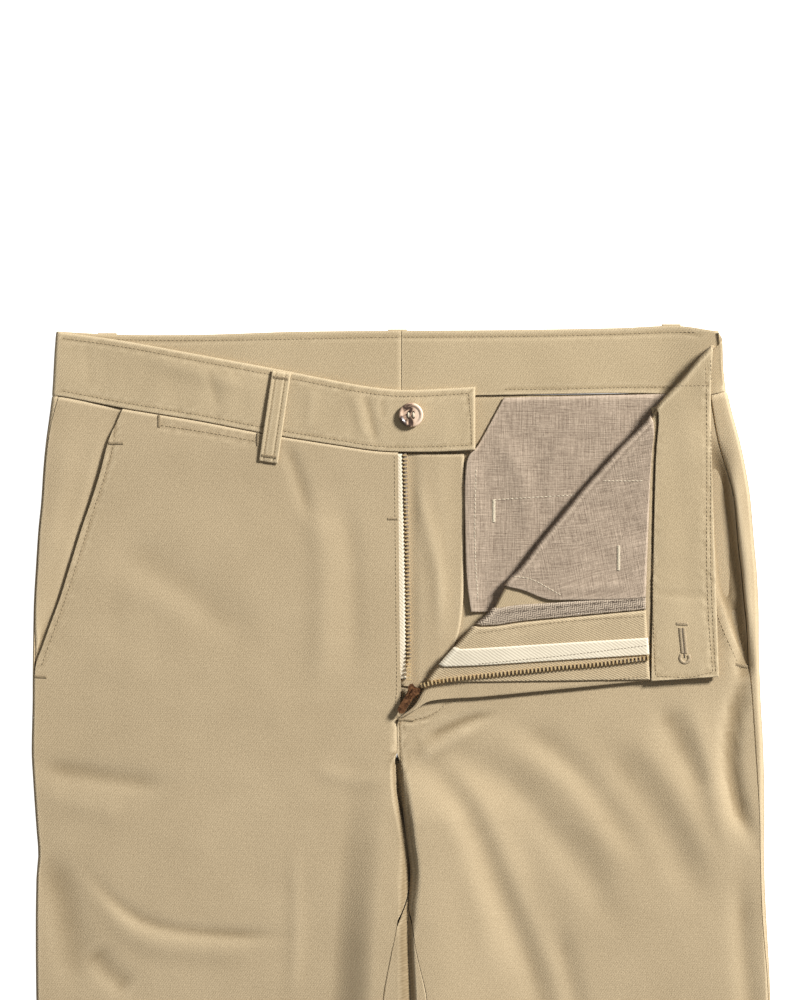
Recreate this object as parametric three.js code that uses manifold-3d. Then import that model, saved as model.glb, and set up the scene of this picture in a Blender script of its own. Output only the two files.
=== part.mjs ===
// Chino trousers laid flat, front up, with the fly open and the left front's fly corner folded back.
// Millimetres. +Y runs to the waist, +X to the wearer's left, and Z is 0 at the surface they lie on.
import * as THREE from "three";
import { mergeVertices } from "three/addons/utils/BufferGeometryUtils.js";
import Module from "manifold-3d";

const wasm = await Module();
wasm.setup();

// Cloth and seams
const CLOTH = 1.2;
const SEAM_GAP = 0.3;
const EDGE_RADIUS = 2.9;
const THICKNESS = 2 * EDGE_RADIUS;
const INSIDE_LAYER = CLOTH + SEAM_GAP;
const HEM_Y = -541;

// The back belt loops lie under the waist, which is lifted by their thickness
const LOOP_ROOM = CLOTH + SEAM_GAP;
const LIFT_FROM_Y = 415;
const LIFT_TO_Y = 472;

// The folded corner: the edge of its fold runs from the waist to the foot of the fly
const FOLD_TOP = [197.6, 527.3];
const FOLD_FOOT = [-2.6, 284.9];
const ROLL_INSIDE = 1.0;
const ROLL_MIDDLE = ROLL_INSIDE + CLOTH / 2;
const ROLL_LENGTH = Math.PI * ROLL_MIDDLE;
const ROLL_REACH = ROLL_INSIDE + INSIDE_LAYER + CLOTH;

// Each half's side by height: edge is the outline, seam and front are how far in from it the side seam
// and the front panel's own edge lie. They part where the slant pocket opens.
const RIGHT_SIDE = [
  { y: 494, edge: -227.5, seam: 4.5, front: 50 },
  { y: 478, edge: -229.6, seam: 2.2, front: 45 },
  { y: 465, edge: -231.4, seam: 1.3, front: 41 },
  { y: 445, edge: -233.4, seam: 1, front: 37.7 },
  { y: 426, edge: -234.7, seam: 1, front: 33 },
  { y: 406, edge: -236.6, seam: 1, front: 28 },
  { y: 387, edge: -237.9, seam: 1, front: 23.4 },
  { y: 361, edge: -239.5, seam: 1, front: 16.9 },
  { y: 346, edge: -239.9, seam: 1, front: 11.7 },
  { y: 328, edge: -240.2, seam: 1, front: 5.5 },
  { y: 320, edge: -240.3, seam: 1, front: 2.6 },
  { y: 309, edge: -240.4, seam: 1, front: 1 },
  { y: 296, edge: -240.5, seam: 1, front: 1 },
  { y: 259, edge: -241, seam: 1, front: 1 },
  { y: 241, edge: -239.9, seam: 1, front: 1 },
  { y: 211, edge: -237.9, seam: 1, front: 1 },
  { y: 195, edge: -236.9, seam: 1, front: 1 },
  { y: 179, edge: -238.2, seam: 1, front: 1 },
  { y: 101, edge: -237.9, seam: 1, front: 1 },
  { y: 0, edge: -235, seam: 1, front: 1 },
  { y: -250, edge: -220, seam: 1, front: 1 },
  { y: HEM_Y, edge: -197, seam: 1, front: 1 },
];
const LEFT_SIDE = [
  { y: 497, edge: 211.9, seam: 11, front: 37.5 },
  { y: 481, edge: 215.8, seam: 12.5, front: 38.3 },
  { y: 465, edge: 220.4, seam: 14, front: 39.2 },
  { y: 452, edge: 223.6, seam: 13.5, front: 39.3 },
  { y: 439, edge: 226.2, seam: 12, front: 38.8 },
  { y: 426, edge: 228.2, seam: 11.2, front: 37.7 },
  { y: 393, edge: 230.8, seam: 10.6, front: 32.6 },
  { y: 380, edge: 232, seam: 10.2, front: 30.7 },
  { y: 361, edge: 232.7, seam: 9.2, front: 25 },
  { y: 345, edge: 233.2, seam: 8, front: 19.4 },
  { y: 330, edge: 233.5, seam: 7.3, front: 13.2 },
  { y: 316, edge: 233.9, seam: 6.9, front: 7.4 },
  { y: 309, edge: 234.2, seam: 6.5, front: 6.5 },
  { y: 296, edge: 234.7, seam: 5.9, front: 5.9 },
  { y: 257, edge: 236.6, seam: 5.2, front: 5.2 },
  { y: 218, edge: 236.6, seam: 3, front: 3 },
  { y: 192, edge: 236.6, seam: 2.6, front: 2.6 },
  { y: 153, edge: 237.9, seam: 2.6, front: 2.6 },
  { y: 114, edge: 239.9, seam: 1.6, front: 1.6 },
  { y: 60, edge: 241, seam: 1.2, front: 1.2 },
  { y: 0, edge: 239.5, seam: 1.2, front: 1.2 },
  { y: -250, edge: 225, seam: 1.2, front: 1.2 },
  { y: HEM_Y, edge: 203, seam: 1.2, front: 1.2 },
];

// Each half's inner edge by height: front and back are the centre seams down to the crotch and the
// outline of the leg below it, and seam is how far in from that the inseam lies.
const RIGHT_INNER = [
  { y: 458, front: -1.9, back: -0.2, seam: 0.2 },
  { y: 322, front: -0.6, back: -0.2, seam: 0.2 },
  { y: 302, front: 0, back: -0.2, seam: 0.2 },
  { y: 292, front: -0.8, back: -0.5, seam: 0.2 },
  { y: 284, front: -2.8, back: -1.2, seam: 0.2 },
  { y: 262, front: -2.8, back: -2.8, seam: 0.2 },
  { y: 252, front: -4.5, back: -4.5, seam: 0.2 },
  { y: 231, front: -3.3, back: -3.3, seam: 0.2 },
  { y: 205, front: 1.3, back: 1.3, seam: 0.2 },
  { y: 172, front: 0.7, back: 0.7, seam: 0.3 },
  { y: 146, front: 0.7, back: 0.7, seam: 3.9 },
  { y: 127, front: 0.9, back: 0.9, seam: 8.1 },
  { y: 101, front: 1.3, back: 1.3, seam: 13 },
  { y: 20, front: -1, back: -1, seam: 16 },
  { y: -200, front: -6, back: -6, seam: 12 },
  { y: HEM_Y, front: -12, back: -12, seam: 6 },
];
const LEFT_INNER = [
  { y: 450, front: -8.8, back: 0.2, seam: 0.2 },
  { y: 391, front: -3.5, back: 0.2, seam: 0.2 },
  { y: 339, front: 1.4, back: 0.2, seam: 0.2 },
  { y: 313, front: 4.9, back: 0.2, seam: 0.2 },
  { y: 303, front: 5.5, back: 0.1, seam: 0.2 },
  { y: 294, front: 3, back: -0.2, seam: 0.2 },
  { y: 284, front: -2.2, back: -0.8, seam: 0.2 },
  { y: 262, front: -2.4, back: -2.4, seam: 0.2 },
  { y: 252, front: -1, back: -1, seam: 0.2 },
  { y: 231, front: 1.3, back: 1.3, seam: 0.2 },
  { y: 205, front: 3.9, back: 3.9, seam: 0.2 },
  { y: 182, front: 6.5, back: 6.5, seam: 0.3 },
  { y: 159, front: 4.4, back: 4.4, seam: 2 },
  { y: 140, front: 3.6, back: 3.6, seam: 5 },
  { y: 127, front: 4, back: 4, seam: 7.2 },
  { y: 101, front: 5.2, back: 5.2, seam: 11.7 },
  { y: 20, front: 7, back: 7, seam: 15 },
  { y: -200, front: 12, back: 12, seam: 11 },
  { y: HEM_Y, front: 18, back: 18, seam: 6 },
];

// The waistband's edges by place across: the right front slopes to its button end
const RIGHT_WAIST_SEAM = [
  { x: -227.5, y: 493.5 },
  { x: -221, y: 493.3 },
  { x: -181.4, y: 485.7 },
  { x: -130.7, y: 477.3 },
  { x: -90.4, y: 469.5 },
  { x: -39.7, y: 461.4 },
  { x: -13.7, y: 457.8 },
  { x: 18.9, y: 457.1 },
  { x: 48.4, y: 458.4 },
];
const RIGHT_WAIST_TOP = [
  { x: -224.9, y: 535.8 },
  { x: -182.7, y: 529.9 },
  { x: -130.7, y: 520.5 },
  { x: -78.7, y: 510.8 },
  { x: -26.7, y: 500.7 },
  { x: -0.7, y: 497.8 },
  { x: 25.4, y: 498.4 },
  { x: 48.4, y: 499.7 },
];
const BACK_WAIST_TOP = [
  { x: -224.9, y: 535.8 },
  { x: -182, y: 533.8 },
  { x: -130, y: 533.8 },
  { x: -65, y: 535.8 },
  { x: 64, y: 536.8 },
  { x: 142, y: 538.1 },
  { x: 181, y: 539.8 },
  { x: 201, y: 538.4 },
];
const BACK_WAIST_SEAM = [
  { x: -227.5, y: 493.5 },
  { x: 0, y: 493.5 },
  { x: 173, y: 496.1 },
  { x: 210, y: 496.1 },
];
const BAND_END_X = 48.4;
const BAND_SIDE = { rightSeam: -227.5, rightTop: -224.9, leftSeam: 211.9, leftTop: 206.7 };
const LEFT_BAND_TOP_Y = 528.5;
const LEFT_BAND_SEAM_Y = 496.1;

// The folded corner's own outline as it lies: the end of the waistband and the fly edge
const FLAP_BAND_SEAM_END = [162.5, 308];
const FLAP_BAND_TOP_END = [206.7, 310.9];

// Rows of the panels by height: from the waist to the foot of the fly, then down the legs
const UPPER_ROWS = 11;
const FLY_FOOT_ROWS = [
  { side: 306, inner: 301 },
  { side: 300, inner: 295 },
  { side: 293, inner: 289 },
  { side: 287, inner: 284 },
];
const LEG_ROWS = [
  276, 268, 262, 259, 256, 252, 245, 235, 220, 205, 190, 175, 160, 143, 124, 101, 70, 20, -60, -200,
  -370, HEM_Y,
];
const CROTCH_TOP_Y = 262;
const CROTCH_POINT_Y = 252;

// Large soft creases of the legs: a trough or ridge along a line, by its ends, width and height
const LEG_CREASES = [
  { from: [-17, 268], to: [-40, 60], width: 15, height: -1.5 },
  { from: [6, 250], to: [90, 80], width: 13, height: -1.4 },
  { from: [70, 262], to: [132, 170], width: 15, height: -0.9 },
  { from: [132, 240], to: [198, 150], width: 16, height: -0.9 },
  { from: [-190, 178], to: [-110, 150], width: 9, height: -0.8 },
  { from: [-150, -30], to: [-60, -60], width: 20, height: -1 },
  { from: [60, -20], to: [170, -70], width: 20, height: -1 },
  { from: [-140, -330], to: [-60, -300], width: 22, height: -0.8 },
  { from: [70, -280], to: [150, -320], width: 22, height: -0.8 },
];

// Colours
const KHAKI = 0xc2ae8d;
const POCKETING = 0xb6a48c;
const HERRINGBONE = 0xa5927b;
const TAPE_WHITE = 0xdbd1be;
const BRASS = 0x8c6a3c;
const HORN = 0xb79a7c;

const mix = (a, b, part) => a + (b - a) * part;
const mixPoint = (a, b, part) => [mix(a[0], b[0], part), mix(a[1], b[1], part)];
const clamp = (value, low, high) => Math.min(Math.max(value, low), high);
const ease = (from, to, value) => {
  const part = clamp((value - from) / (to - from), 0, 1);
  return part * part * (3 - 2 * part);
};
const steps = (count, make) => Array.from({ length: count + 1 }, (_, i) => make(i / count, i));

// A smooth curve through one column of a table, as a function of another column
function through(table, along, column) {
  const rows = [...table].sort((a, b) => a[along] - b[along]);
  const at = rows.map((row) => row[along]);
  const value = rows.map((row) => row[column]);
  const last = rows.length - 1;
  const slope = at.map((_, i) => {
    const before = Math.max(i - 1, 0);
    const after = Math.min(i + 1, last);
    return (value[after] - value[before]) / (at[after] - at[before]);
  });
  return (place) => {
    const p = clamp(place, at[0], at[last]);
    let i = 0;
    while (i < last - 1 && p > at[i + 1]) i += 1;
    const width = at[i + 1] - at[i];
    const s = (p - at[i]) / width;
    const a = value[i + 1] - value[i];
    const rise = slope[i] * width - a;
    const fall = a - slope[i + 1] * width;
    return mix(value[i], value[i + 1], s) + s * (1 - s) * ((1 - s) * rise + s * fall);
  };
}

// A half's outline curves, with out as the side that its outer edge faces
function halfOf(side, inner, out) {
  return {
    out,
    edge: through(side, "y", "edge"),
    seam: through(side, "y", "seam"),
    opening: through(side, "y", "front"),
    front: through(inner, "y", "front"),
    back: through(inner, "y", "back"),
    inseam: through(inner, "y", "seam"),
  };
}
const RIGHT = halfOf(RIGHT_SIDE, RIGHT_INNER, -1);
const LEFT = halfOf(LEFT_SIDE, LEFT_INNER, 1);
const rightWaistSeam = through(RIGHT_WAIST_SEAM, "x", "y");
const rightWaistTop = through(RIGHT_WAIST_TOP, "x", "y");
const backWaistTop = through(BACK_WAIST_TOP, "x", "y");
const backWaistSeam = through(BACK_WAIST_SEAM, "x", "y");

const lift = (y) => LOOP_ROOM * ease(LIFT_FROM_Y, LIFT_TO_Y, y);

// Height that the legs' creases add to the front at a place
function crease(x, y) {
  let height = 0;
  for (const { from, to, width, height: most } of LEG_CREASES) {
    const length = Math.hypot(to[0] - from[0], to[1] - from[1]);
    const along = [(to[0] - from[0]) / length, (to[1] - from[1]) / length];
    const offset = [x - from[0], y - from[1]];
    const run = (offset[0] * along[0] + offset[1] * along[1]) / length;
    const across = offset[0] * along[1] - offset[1] * along[0];
    const fade = ease(-0.05, 0.3, run) * (1 - ease(0.7, 1.05, run));
    height += most * fade * Math.exp(-((across / width) ** 2));
  }
  return height * (1 - ease(262, 285, y));
}

// A closed wall between two depths of a sheet, whose rows hold a place for each depth
function wall(name, colour, rows, from, to) {
  const across = rows[0].length;
  const count = rows.length * across;
  const position = [];
  for (const depth of [from, to])
    for (const row of rows)
      for (const place of row) {
        const [x, y, z] = place(depth);
        position.push(x, y, z + lift(y));
      }
  const index = [];
  const quad = (a, b, c, d) => index.push(a, b, c, a, c, d);
  const at = (face, i, j) => face * count + i * across + j;
  for (let i = 0; i < rows.length - 1; i += 1) {
    for (let j = 0; j < across - 1; j += 1) {
      quad(at(0, i, j), at(0, i, j + 1), at(0, i + 1, j + 1), at(0, i + 1, j));
      quad(at(1, i, j), at(1, i + 1, j), at(1, i + 1, j + 1), at(1, i, j + 1));
    }
    const k = across - 1;
    quad(at(0, i, 0), at(0, i + 1, 0), at(1, i + 1, 0), at(1, i, 0));
    quad(at(0, i + 1, k), at(0, i, k), at(1, i, k), at(1, i + 1, k));
  }
  const end = rows.length - 1;
  for (let j = 0; j < across - 1; j += 1) {
    quad(at(0, 0, j + 1), at(0, 0, j), at(1, 0, j), at(1, 0, j + 1));
    quad(at(0, end, j), at(0, end, j + 1), at(1, end, j + 1), at(1, end, j));
  }
  const geometry = new THREE.BufferGeometry();
  geometry.setAttribute("position", new THREE.Float32BufferAttribute(position, 3));
  geometry.setIndex(facingOut(position, index));
  return named(name, colour, geometry);
}

// The triangles, turned round where they enclose a negative volume
function facingOut(position, index) {
  const corner = (i) => new THREE.Vector3(...position.slice(3 * i, 3 * i + 3));
  let volume = 0;
  for (let i = 0; i < index.length; i += 3)
    volume += corner(index[i]).dot(corner(index[i + 1]).cross(corner(index[i + 2])));
  if (volume < 0)
    for (let i = 0; i < index.length; i += 3) [index[i], index[i + 1]] = [index[i + 1], index[i]];
  return index;
}

function named(name, colour, geometry) {
  const metal = colour === BRASS;
  const material = new THREE.MeshStandardMaterial({
    color: colour,
    roughness: metal ? 0.4 : 0.9,
    metalness: metal ? 1 : 0,
  });
  const mesh = new THREE.Mesh(geometry, material);
  mesh.name = name;
  return mesh;
}

// A mesh as a solid that can be joined and cut, and back
function solid(geometry) {
  const bare = geometry.index ? geometry.toNonIndexed() : geometry.clone();
  bare.deleteAttribute("normal");
  bare.deleteAttribute("uv");
  const merged = mergeVertices(bare, 1e-4);
  return new wasm.Manifold(
    new wasm.Mesh({
      numProp: 3,
      vertProperties: new Float32Array(merged.attributes.position.array),
      triVerts: new Uint32Array(merged.index.array),
    }),
  );
}

function geometryOf(body) {
  const { vertProperties, triVerts } = body.getMesh();
  const geometry = new THREE.BufferGeometry();
  geometry.setAttribute("position", new THREE.BufferAttribute(vertProperties, 3));
  geometry.setIndex(new THREE.BufferAttribute(triVerts, 1));
  return geometry;
}

// The rolled edge of the flattened tube: reach is the way round it, below 0 on the top, above the half
// turn on the underside, and out is the way the edge faces
function rim(middle, out, reach, depth) {
  const radius = EDGE_RADIUS - depth;
  if (reach < 0) return [middle + out * reach, THICKNESS - depth];
  if (reach > Math.PI * EDGE_RADIUS) return [middle - out * (reach - Math.PI * EDGE_RADIUS), depth];
  const turn = reach / EDGE_RADIUS;
  return [middle + out * radius * Math.sin(turn), EDGE_RADIUS + radius * Math.cos(turn)];
}

// How far round the edge a seam lies that is seen at an inset from the outline
const seamReach = (inset) =>
  inset < EDGE_RADIUS
    ? EDGE_RADIUS * Math.asin(Math.min(1, 1 - inset / EDGE_RADIUS))
    : EDGE_RADIUS - inset;

const rimPlace = (middle, out, reach, y) => (depth) => {
  const [x, z] = rim(middle, out, reach, depth);
  return [x, y, z];
};

// How far the crotch seams have turned in from the flat at a height: 0 above, 1 on the leg
const crotchTurn = (y) => 1 - ease(CROTCH_POINT_Y, CROTCH_TOP_Y, y);
const MIN_STEP = 0.15;

// Places of a front row round its outer edge, from its own edge to the flat
function frontOuter(half, y, inset, count) {
  const from = seamReach(inset + SEAM_GAP / 2);
  const to = Math.min(0, from - MIN_STEP * count);
  const middle = half.edge(y) - half.out * EDGE_RADIUS;
  return steps(count, (part) => rimPlace(middle, half.out, mix(from, to, part), y));
}

// Places of a front row round its inner edge, from the flat to the centre seam or inseam
function frontInner(half, y, count) {
  const turn = crotchTurn(y);
  const full = seamReach(half.inseam(y) + (turn ? SEAM_GAP / 2 : 0));
  const to = turn * full;
  const shift = mix(Math.sin(Math.max(to, 0) / EDGE_RADIUS), 1, turn);
  const middle = half.front(y) + half.out * EDGE_RADIUS * shift;
  const from = Math.min(0, to - MIN_STEP * count);
  return steps(count, (part) => rimPlace(middle, -half.out, mix(from, to, part), y));
}

// Straight stretch of a front between two places at depth 0, with the legs' creases in it
function flatStretch(start, end, count) {
  return steps(count, (part) => (depth) => {
    const [x, y] = mixPoint(start(0), end(0), part);
    return [x, y, THICKNESS - depth + crease(x, y)];
  }).slice(1, -1);
}

function frontLegRow(half, y, flat) {
  const outer = frontOuter(half, y, half.opening(y), 3);
  const inner = frontInner(half, y, 4);
  return [...outer, ...flatStretch(outer.at(-1), inner[0], flat), ...inner];
}

// Right front: from the waist seam to the hem
function frontRight() {
  const seamTop = 485.2;
  const flat = 9;
  const upper = steps(UPPER_ROWS, (part, i) => {
    const sideY = mix(seamTop, 311, part);
    const innerY = mix(rightWaistSeam(-2) - SEAM_GAP, 306, part);
    return slopedRow(sideY, innerY, flat, Math.max(0, 1 - i / 4));
  });
  const foot = FLY_FOOT_ROWS.map(({ side, inner }) => slopedRow(side, inner, flat, 0));
  const legs = LEG_ROWS.map((y) => frontLegRow(RIGHT, y, flat));
  return wall("front_right", KHAKI, [...upper, ...foot, ...legs], 0, CLOTH);
}

// A right front row from the side to the fly edge, bent to the waist seam by a part
function slopedRow(sideY, innerY, flat, bend) {
  const outer = frontOuter(RIGHT, sideY, RIGHT.opening(sideY), 3);
  const inner = frontInner(RIGHT, innerY, 4);
  const [startX, startY] = outer.at(-1)(0);
  const [endX, endY] = inner[0](0);
  const middle = steps(flat, (part) => (depth) => {
    const x = mix(startX, endX, part);
    const straight = mix(startY, endY, part);
    const top = mix(485.2, rightWaistSeam(-2) - SEAM_GAP, part);
    const y = straight + bend * (rightWaistSeam(x) - SEAM_GAP - 0.1 - top);
    return [x, Math.min(y, rightWaistSeam(x) - SEAM_GAP), THICKNESS - depth];
  }).slice(1, -1);
  return [...outer, ...middle, ...inner];
}

// The fold's own axes: along it from the waist, and across it towards the opening
const foldLength = Math.hypot(FOLD_FOOT[0] - FOLD_TOP[0], FOLD_FOOT[1] - FOLD_TOP[1]);
const ALONG = [
  (FOLD_FOOT[0] - FOLD_TOP[0]) / foldLength,
  (FOLD_FOOT[1] - FOLD_TOP[1]) / foldLength,
];
const ACROSS = [ALONG[1], -ALONG[0]];
const along = ([x, y]) => (x - FOLD_TOP[0]) * ALONG[0] + (y - FOLD_TOP[1]) * ALONG[1];
const across = ([x, y]) => (x - FOLD_TOP[0]) * ACROSS[0] + (y - FOLD_TOP[1]) * ACROSS[1];
const foldPoint = (run, off) => [
  FOLD_TOP[0] + run * ALONG[0] + off * ACROSS[0],
  FOLD_TOP[1] + run * ALONG[1] + off * ACROSS[1],
];

// Where a place on the unfolded left front goes, at a depth into the cloth from its right side
function rolled(flat, depth) {
  const over = across(flat) + ROLL_REACH;
  const run = along(flat);
  if (over <= 0) return [flat[0], flat[1], THICKNESS - depth + crease(...flat)];
  const radius = ROLL_INSIDE + depth;
  if (over < ROLL_LENGTH) {
    const turn = over / ROLL_MIDDLE;
    const place = foldPoint(run, radius * Math.sin(turn) - ROLL_REACH);
    return [...place, THICKNESS + ROLL_INSIDE - radius * Math.cos(turn)];
  }
  const place = foldPoint(run, ROLL_LENGTH - over - ROLL_REACH);
  return [...place, THICKNESS + 2 * ROLL_INSIDE + depth];
}

// The unfolded place of a point seen on the folded corner
function unfolded(place) {
  return foldPoint(along(place), ROLL_LENGTH - 2 * ROLL_REACH - across(place));
}

// Parts of a straight row at which its places lie: up to the roll, round it, and on the corner
function rollParts(start, end, before, round, after) {
  const length = across(end) - across(start);
  const least = 0.002;
  const rollAt = clamp((-ROLL_REACH - across(start)) / length, least * before, 1 - least);
  const left = 1 - rollAt;
  const base = steps(before, (part) => part * rollAt);
  const turns = steps(round, (part, i) =>
    Math.min((part * ROLL_LENGTH) / length, (left * i) / (round + after)),
  );
  const rest = steps(after, (part) => mix(turns[round], left, part));
  return [...base, ...turns.slice(1).map((t) => rollAt + t), ...rest.slice(1).map((t) => rollAt + t)];
}

const rolledRow = (start, end, parts) =>
  parts.map((part) => (depth) => rolled(mixPoint(start, end, part), depth));

const leftBandSeam = (part) =>
  mixPoint([BAND_SIDE.leftSeam - EDGE_RADIUS, LEFT_BAND_SEAM_Y], unfolded(FLAP_BAND_SEAM_END), part);

// Left front: the base, the roll and the folded corner in one sheet, then the leg
function frontLeft() {
  const before = 6;
  const round = 6;
  const after = 4;
  const seamStart = leftBandSeam(0.155);
  const seamEnd = leftBandSeam(1);
  const upper = steps(UPPER_ROWS, (part) => {
    const sideY = mix(seamStart[1] - 0.45, 311, part);
    const innerY = mix(seamEnd[1] - 0.45, 306, part);
    return foldRow(sideY, innerY, before, round, after);
  });
  const foot = FLY_FOOT_ROWS.map(({ side, inner }) => foldRow(side, inner, before, round, after));
  const legs = LEG_ROWS.map((y) => {
    const row = frontOuter(LEFT, y, LEFT.opening(y), 3);
    const inner = frontInner(LEFT, y, after);
    const reach = clamp(2 + 0.9 * (280 - y), 3, 60);
    const turnAt = () => [inner[0](0)[0] + reach, y];
    const turnPlace = (depth) => [turnAt()[0], y, THICKNESS - depth + crease(turnAt()[0], y)];
    return [
      ...row,
      ...flatStretch(row.at(-1), turnAt, before),
      turnPlace,
      ...flatStretch(turnAt, inner[0], round),
      ...inner,
    ];
  });
  return wall("front_left", KHAKI, [...upper, ...foot, ...legs], 0, CLOTH);
}

function foldRow(sideY, innerY, before, round, after) {
  const outer = frontOuter(LEFT, sideY, LEFT.opening(sideY), 3);
  const start = outer.at(-1)(0).slice(0, 2);
  const end = [LEFT.front(innerY), innerY];
  const parts = rollParts(start, end, before, round, after);
  return [...outer, ...rolledRow(start, end, parts).slice(1)];
}

// Back: wraps round the side to the side seam and, below the crotch, round the leg to the inseam
function back(name, half) {
  const heights = [
    ...steps(UPPER_ROWS, (part) => mix(backWaistSeam(0) - 0.4, 306, part)),
    ...FLY_FOOT_ROWS.map((row) => row.inner),
    ...LEG_ROWS,
  ];
  const rows = heights.map((y, i) => backRow(half, y, Math.max(0, 1 - i / 4)));
  return wall(name, KHAKI, rows, 0, CLOTH);
}

function backRow(half, y, bend) {
  const halfTurn = Math.PI * EDGE_RADIUS;
  const edge = half.edge(y) - half.out * EDGE_RADIUS;
  const from = seamReach(half.seam(y) - SEAM_GAP / 2);
  const knee = Math.max(0, from + 2 * MIN_STEP);
  const rise = bend * (backWaistSeam(edge) - backWaistSeam(0));
  const frontSlope = 0.22;
  const outerReach = [
    ...steps(2, (part) => mix(from, knee, part)),
    ...steps(5, (part) => mix(knee, halfTurn, part)).slice(1),
  ];
  const outer = outerReach.map((reach) => {
    const drop = bend * frontSlope * Math.max(0, -reach);
    return rimPlace(edge, half.out, reach, y + rise - drop);
  });
  const turn = crotchTurn(y);
  const full = seamReach(half.inseam(y) - SEAM_GAP / 2);
  const to = halfTurn - turn * (halfTurn - full);
  const shift = mix(Math.sin(Math.min((halfTurn - to) / EDGE_RADIUS, Math.PI / 2)), 1, turn);
  const middle = half.back(y) + half.out * EDGE_RADIUS * shift;
  const bottom = Math.max(halfTurn, to + 7 * MIN_STEP);
  const turnUp = Math.max(0, to + 2 * MIN_STEP);
  const innerReach = [
    ...steps(5, (part) => mix(bottom, turnUp, part)),
    ...steps(2, (part) => mix(turnUp, to, part)).slice(1),
  ];
  const inner = innerReach.map((reach) => rimPlace(middle, -half.out, reach, y));
  const start = outer.at(-1)(0);
  const end = inner[0](0);
  const flat = steps(4, (part) => (depth) => {
    const [x, rowY] = mixPoint(start, end, part);
    return [x, rowY, depth];
  }).slice(1, -1);
  return [...outer, ...flat, ...inner];
}

// A slant pocket's facing: from the side seam it dips under the front panel's edge
function pocketFacing(name, half, waistSeam) {
  const under = 12;
  const topX = half.edge(494) - half.out * Math.max(EDGE_RADIUS, half.seam(494));
  const rows = steps(7, (part) => {
    const y = mix(waistSeam(topX) - 0.45, 300, part);
    const outer = facingOuter(half, y);
    const start = outer.at(-1)(0)[0];
    const end = half.edge(y) - half.out * (half.opening(y) + under);
    const fade = Math.max(0, 1 - part * 1.5);
    const flat = steps(6, (share) => (depth) => {
      const x = mix(start, end, share);
      const rowY = y + fade * (waistSeam(x) - waistSeam(start));
      return [x, rowY, THICKNESS - depth - sink(half, x, y)];
    }).slice(1);
    return [...outer, ...flat];
  });
  return wall(name, KHAKI, rows, 0, CLOTH);
}

// Height of the left front's waist seam before the fold, at a place across
function leftWaistSeam(x) {
  const start = leftBandSeam(0);
  const end = leftBandSeam(1);
  return mix(start[1], end[1], (x - start[0]) / (end[0] - start[0]));
}

function facingOuter(half, y) {
  const from = seamReach(half.seam(y) + SEAM_GAP);
  const to = Math.min(0, from - 0.45);
  const middle = half.edge(y) - half.out * EDGE_RADIUS;
  return steps(3, (part) => {
    const reach = mix(from, to, part);
    return (depth) => {
      const deeper = sink(half, rim(middle, half.out, reach, 0)[0], y);
      const [x, z] = rim(middle, half.out, reach, depth + deeper);
      return [x, y, z];
    };
  });
}

// How far the pocket facing has dipped at a place: fully where the front panel covers it
function sink(half, x, y) {
  const fromEdge = Math.abs(half.edge(y) - x);
  const cover = half.opening(y) - 1.5;
  const byPlace = ease(Math.min(half.seam(y) + 1, cover - 4), cover, fromEdge);
  const nearFoot = 1 - ease(322, 345, y);
  return INSIDE_LAYER * Math.max(byPlace, nearFoot);
}

// A flat piece between two sides, laid at a level
function laid(name, colour, left, right, rowCount, columns, level, thickness) {
  const rows = steps(rowCount, (v) =>
    steps(columns, (u) => (depth) => [...mixPoint(left(v), right(v), u), level + depth]),
  );
  return wall(name, colour, rows, 0, thickness);
}

// A side of a flat piece through the rows of a short table, from its first row to its last
function sideThrough(table) {
  const rows = table.map(([x, y], i) => ({ x, y, i: i / (table.length - 1) }));
  const x = through(rows, "i", "x");
  const y = through(rows, "i", "y");
  return (part) => [x(part), y(part)];
}

// One ply of the right half of the waistband, from the centre back round the side to the button end
function bandRight(name, from, to) {
  const rows = steps(2, (v) => {
    const middle = mix(BAND_SIDE.rightSeam, BAND_SIDE.rightTop, v) + EDGE_RADIUS;
    const backStretch = steps(7, (part) => (depth) => {
      const x = mix(-SEAM_GAP / 2, middle, part);
      return [x, mix(backWaistSeam(x), backWaistTop(x), v), depth];
    });
    const sideY = mix(RIGHT_WAIST_SEAM[0].y, RIGHT_WAIST_TOP[0].y, v);
    const side = steps(6, (part) =>
      rimPlace(middle, -1, Math.PI * EDGE_RADIUS * (1 - part), sideY),
    ).slice(1, -1);
    const front = steps(12, (part) => (depth) => {
      const x = mix(middle, BAND_END_X, part);
      return [x, mix(rightWaistSeam(x), rightWaistTop(x), v), THICKNESS - depth];
    });
    return [...backStretch, ...side, ...front];
  });
  return wall(name, KHAKI, rows, from, to);
}

// One ply of the left half: round the side, then over the roll and down the folded corner
function bandLeft(name, from, to) {
  const seamEnd = unfolded(FLAP_BAND_SEAM_END);
  const topEnd = unfolded(FLAP_BAND_TOP_END);
  const rows = steps(2, (v) => {
    const middle = mix(BAND_SIDE.leftSeam, BAND_SIDE.leftTop, v) - EDGE_RADIUS;
    const backStretch = steps(6, (part) => (depth) => {
      const x = mix(SEAM_GAP / 2, middle, part);
      return [x, mix(backWaistSeam(x), backWaistTop(x), v), depth];
    });
    const backY = mix(backWaistSeam(middle), backWaistTop(middle), v);
    const frontY = mix(LEFT_BAND_SEAM_Y, LEFT_BAND_TOP_Y, v);
    const side = steps(6, (part) =>
      rimPlace(middle, 1, Math.PI * EDGE_RADIUS * (1 - part), mix(backY, frontY, part)),
    ).slice(1, -1);
    const start = [middle, frontY];
    const end = mixPoint(seamEnd, topEnd, v);
    const front = rolledRow(start, end, rollParts(start, end, 2, 6, 6));
    return [...backStretch, ...side, ...front];
  });
  return wall(name, KHAKI, rows, from, to);
}

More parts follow.
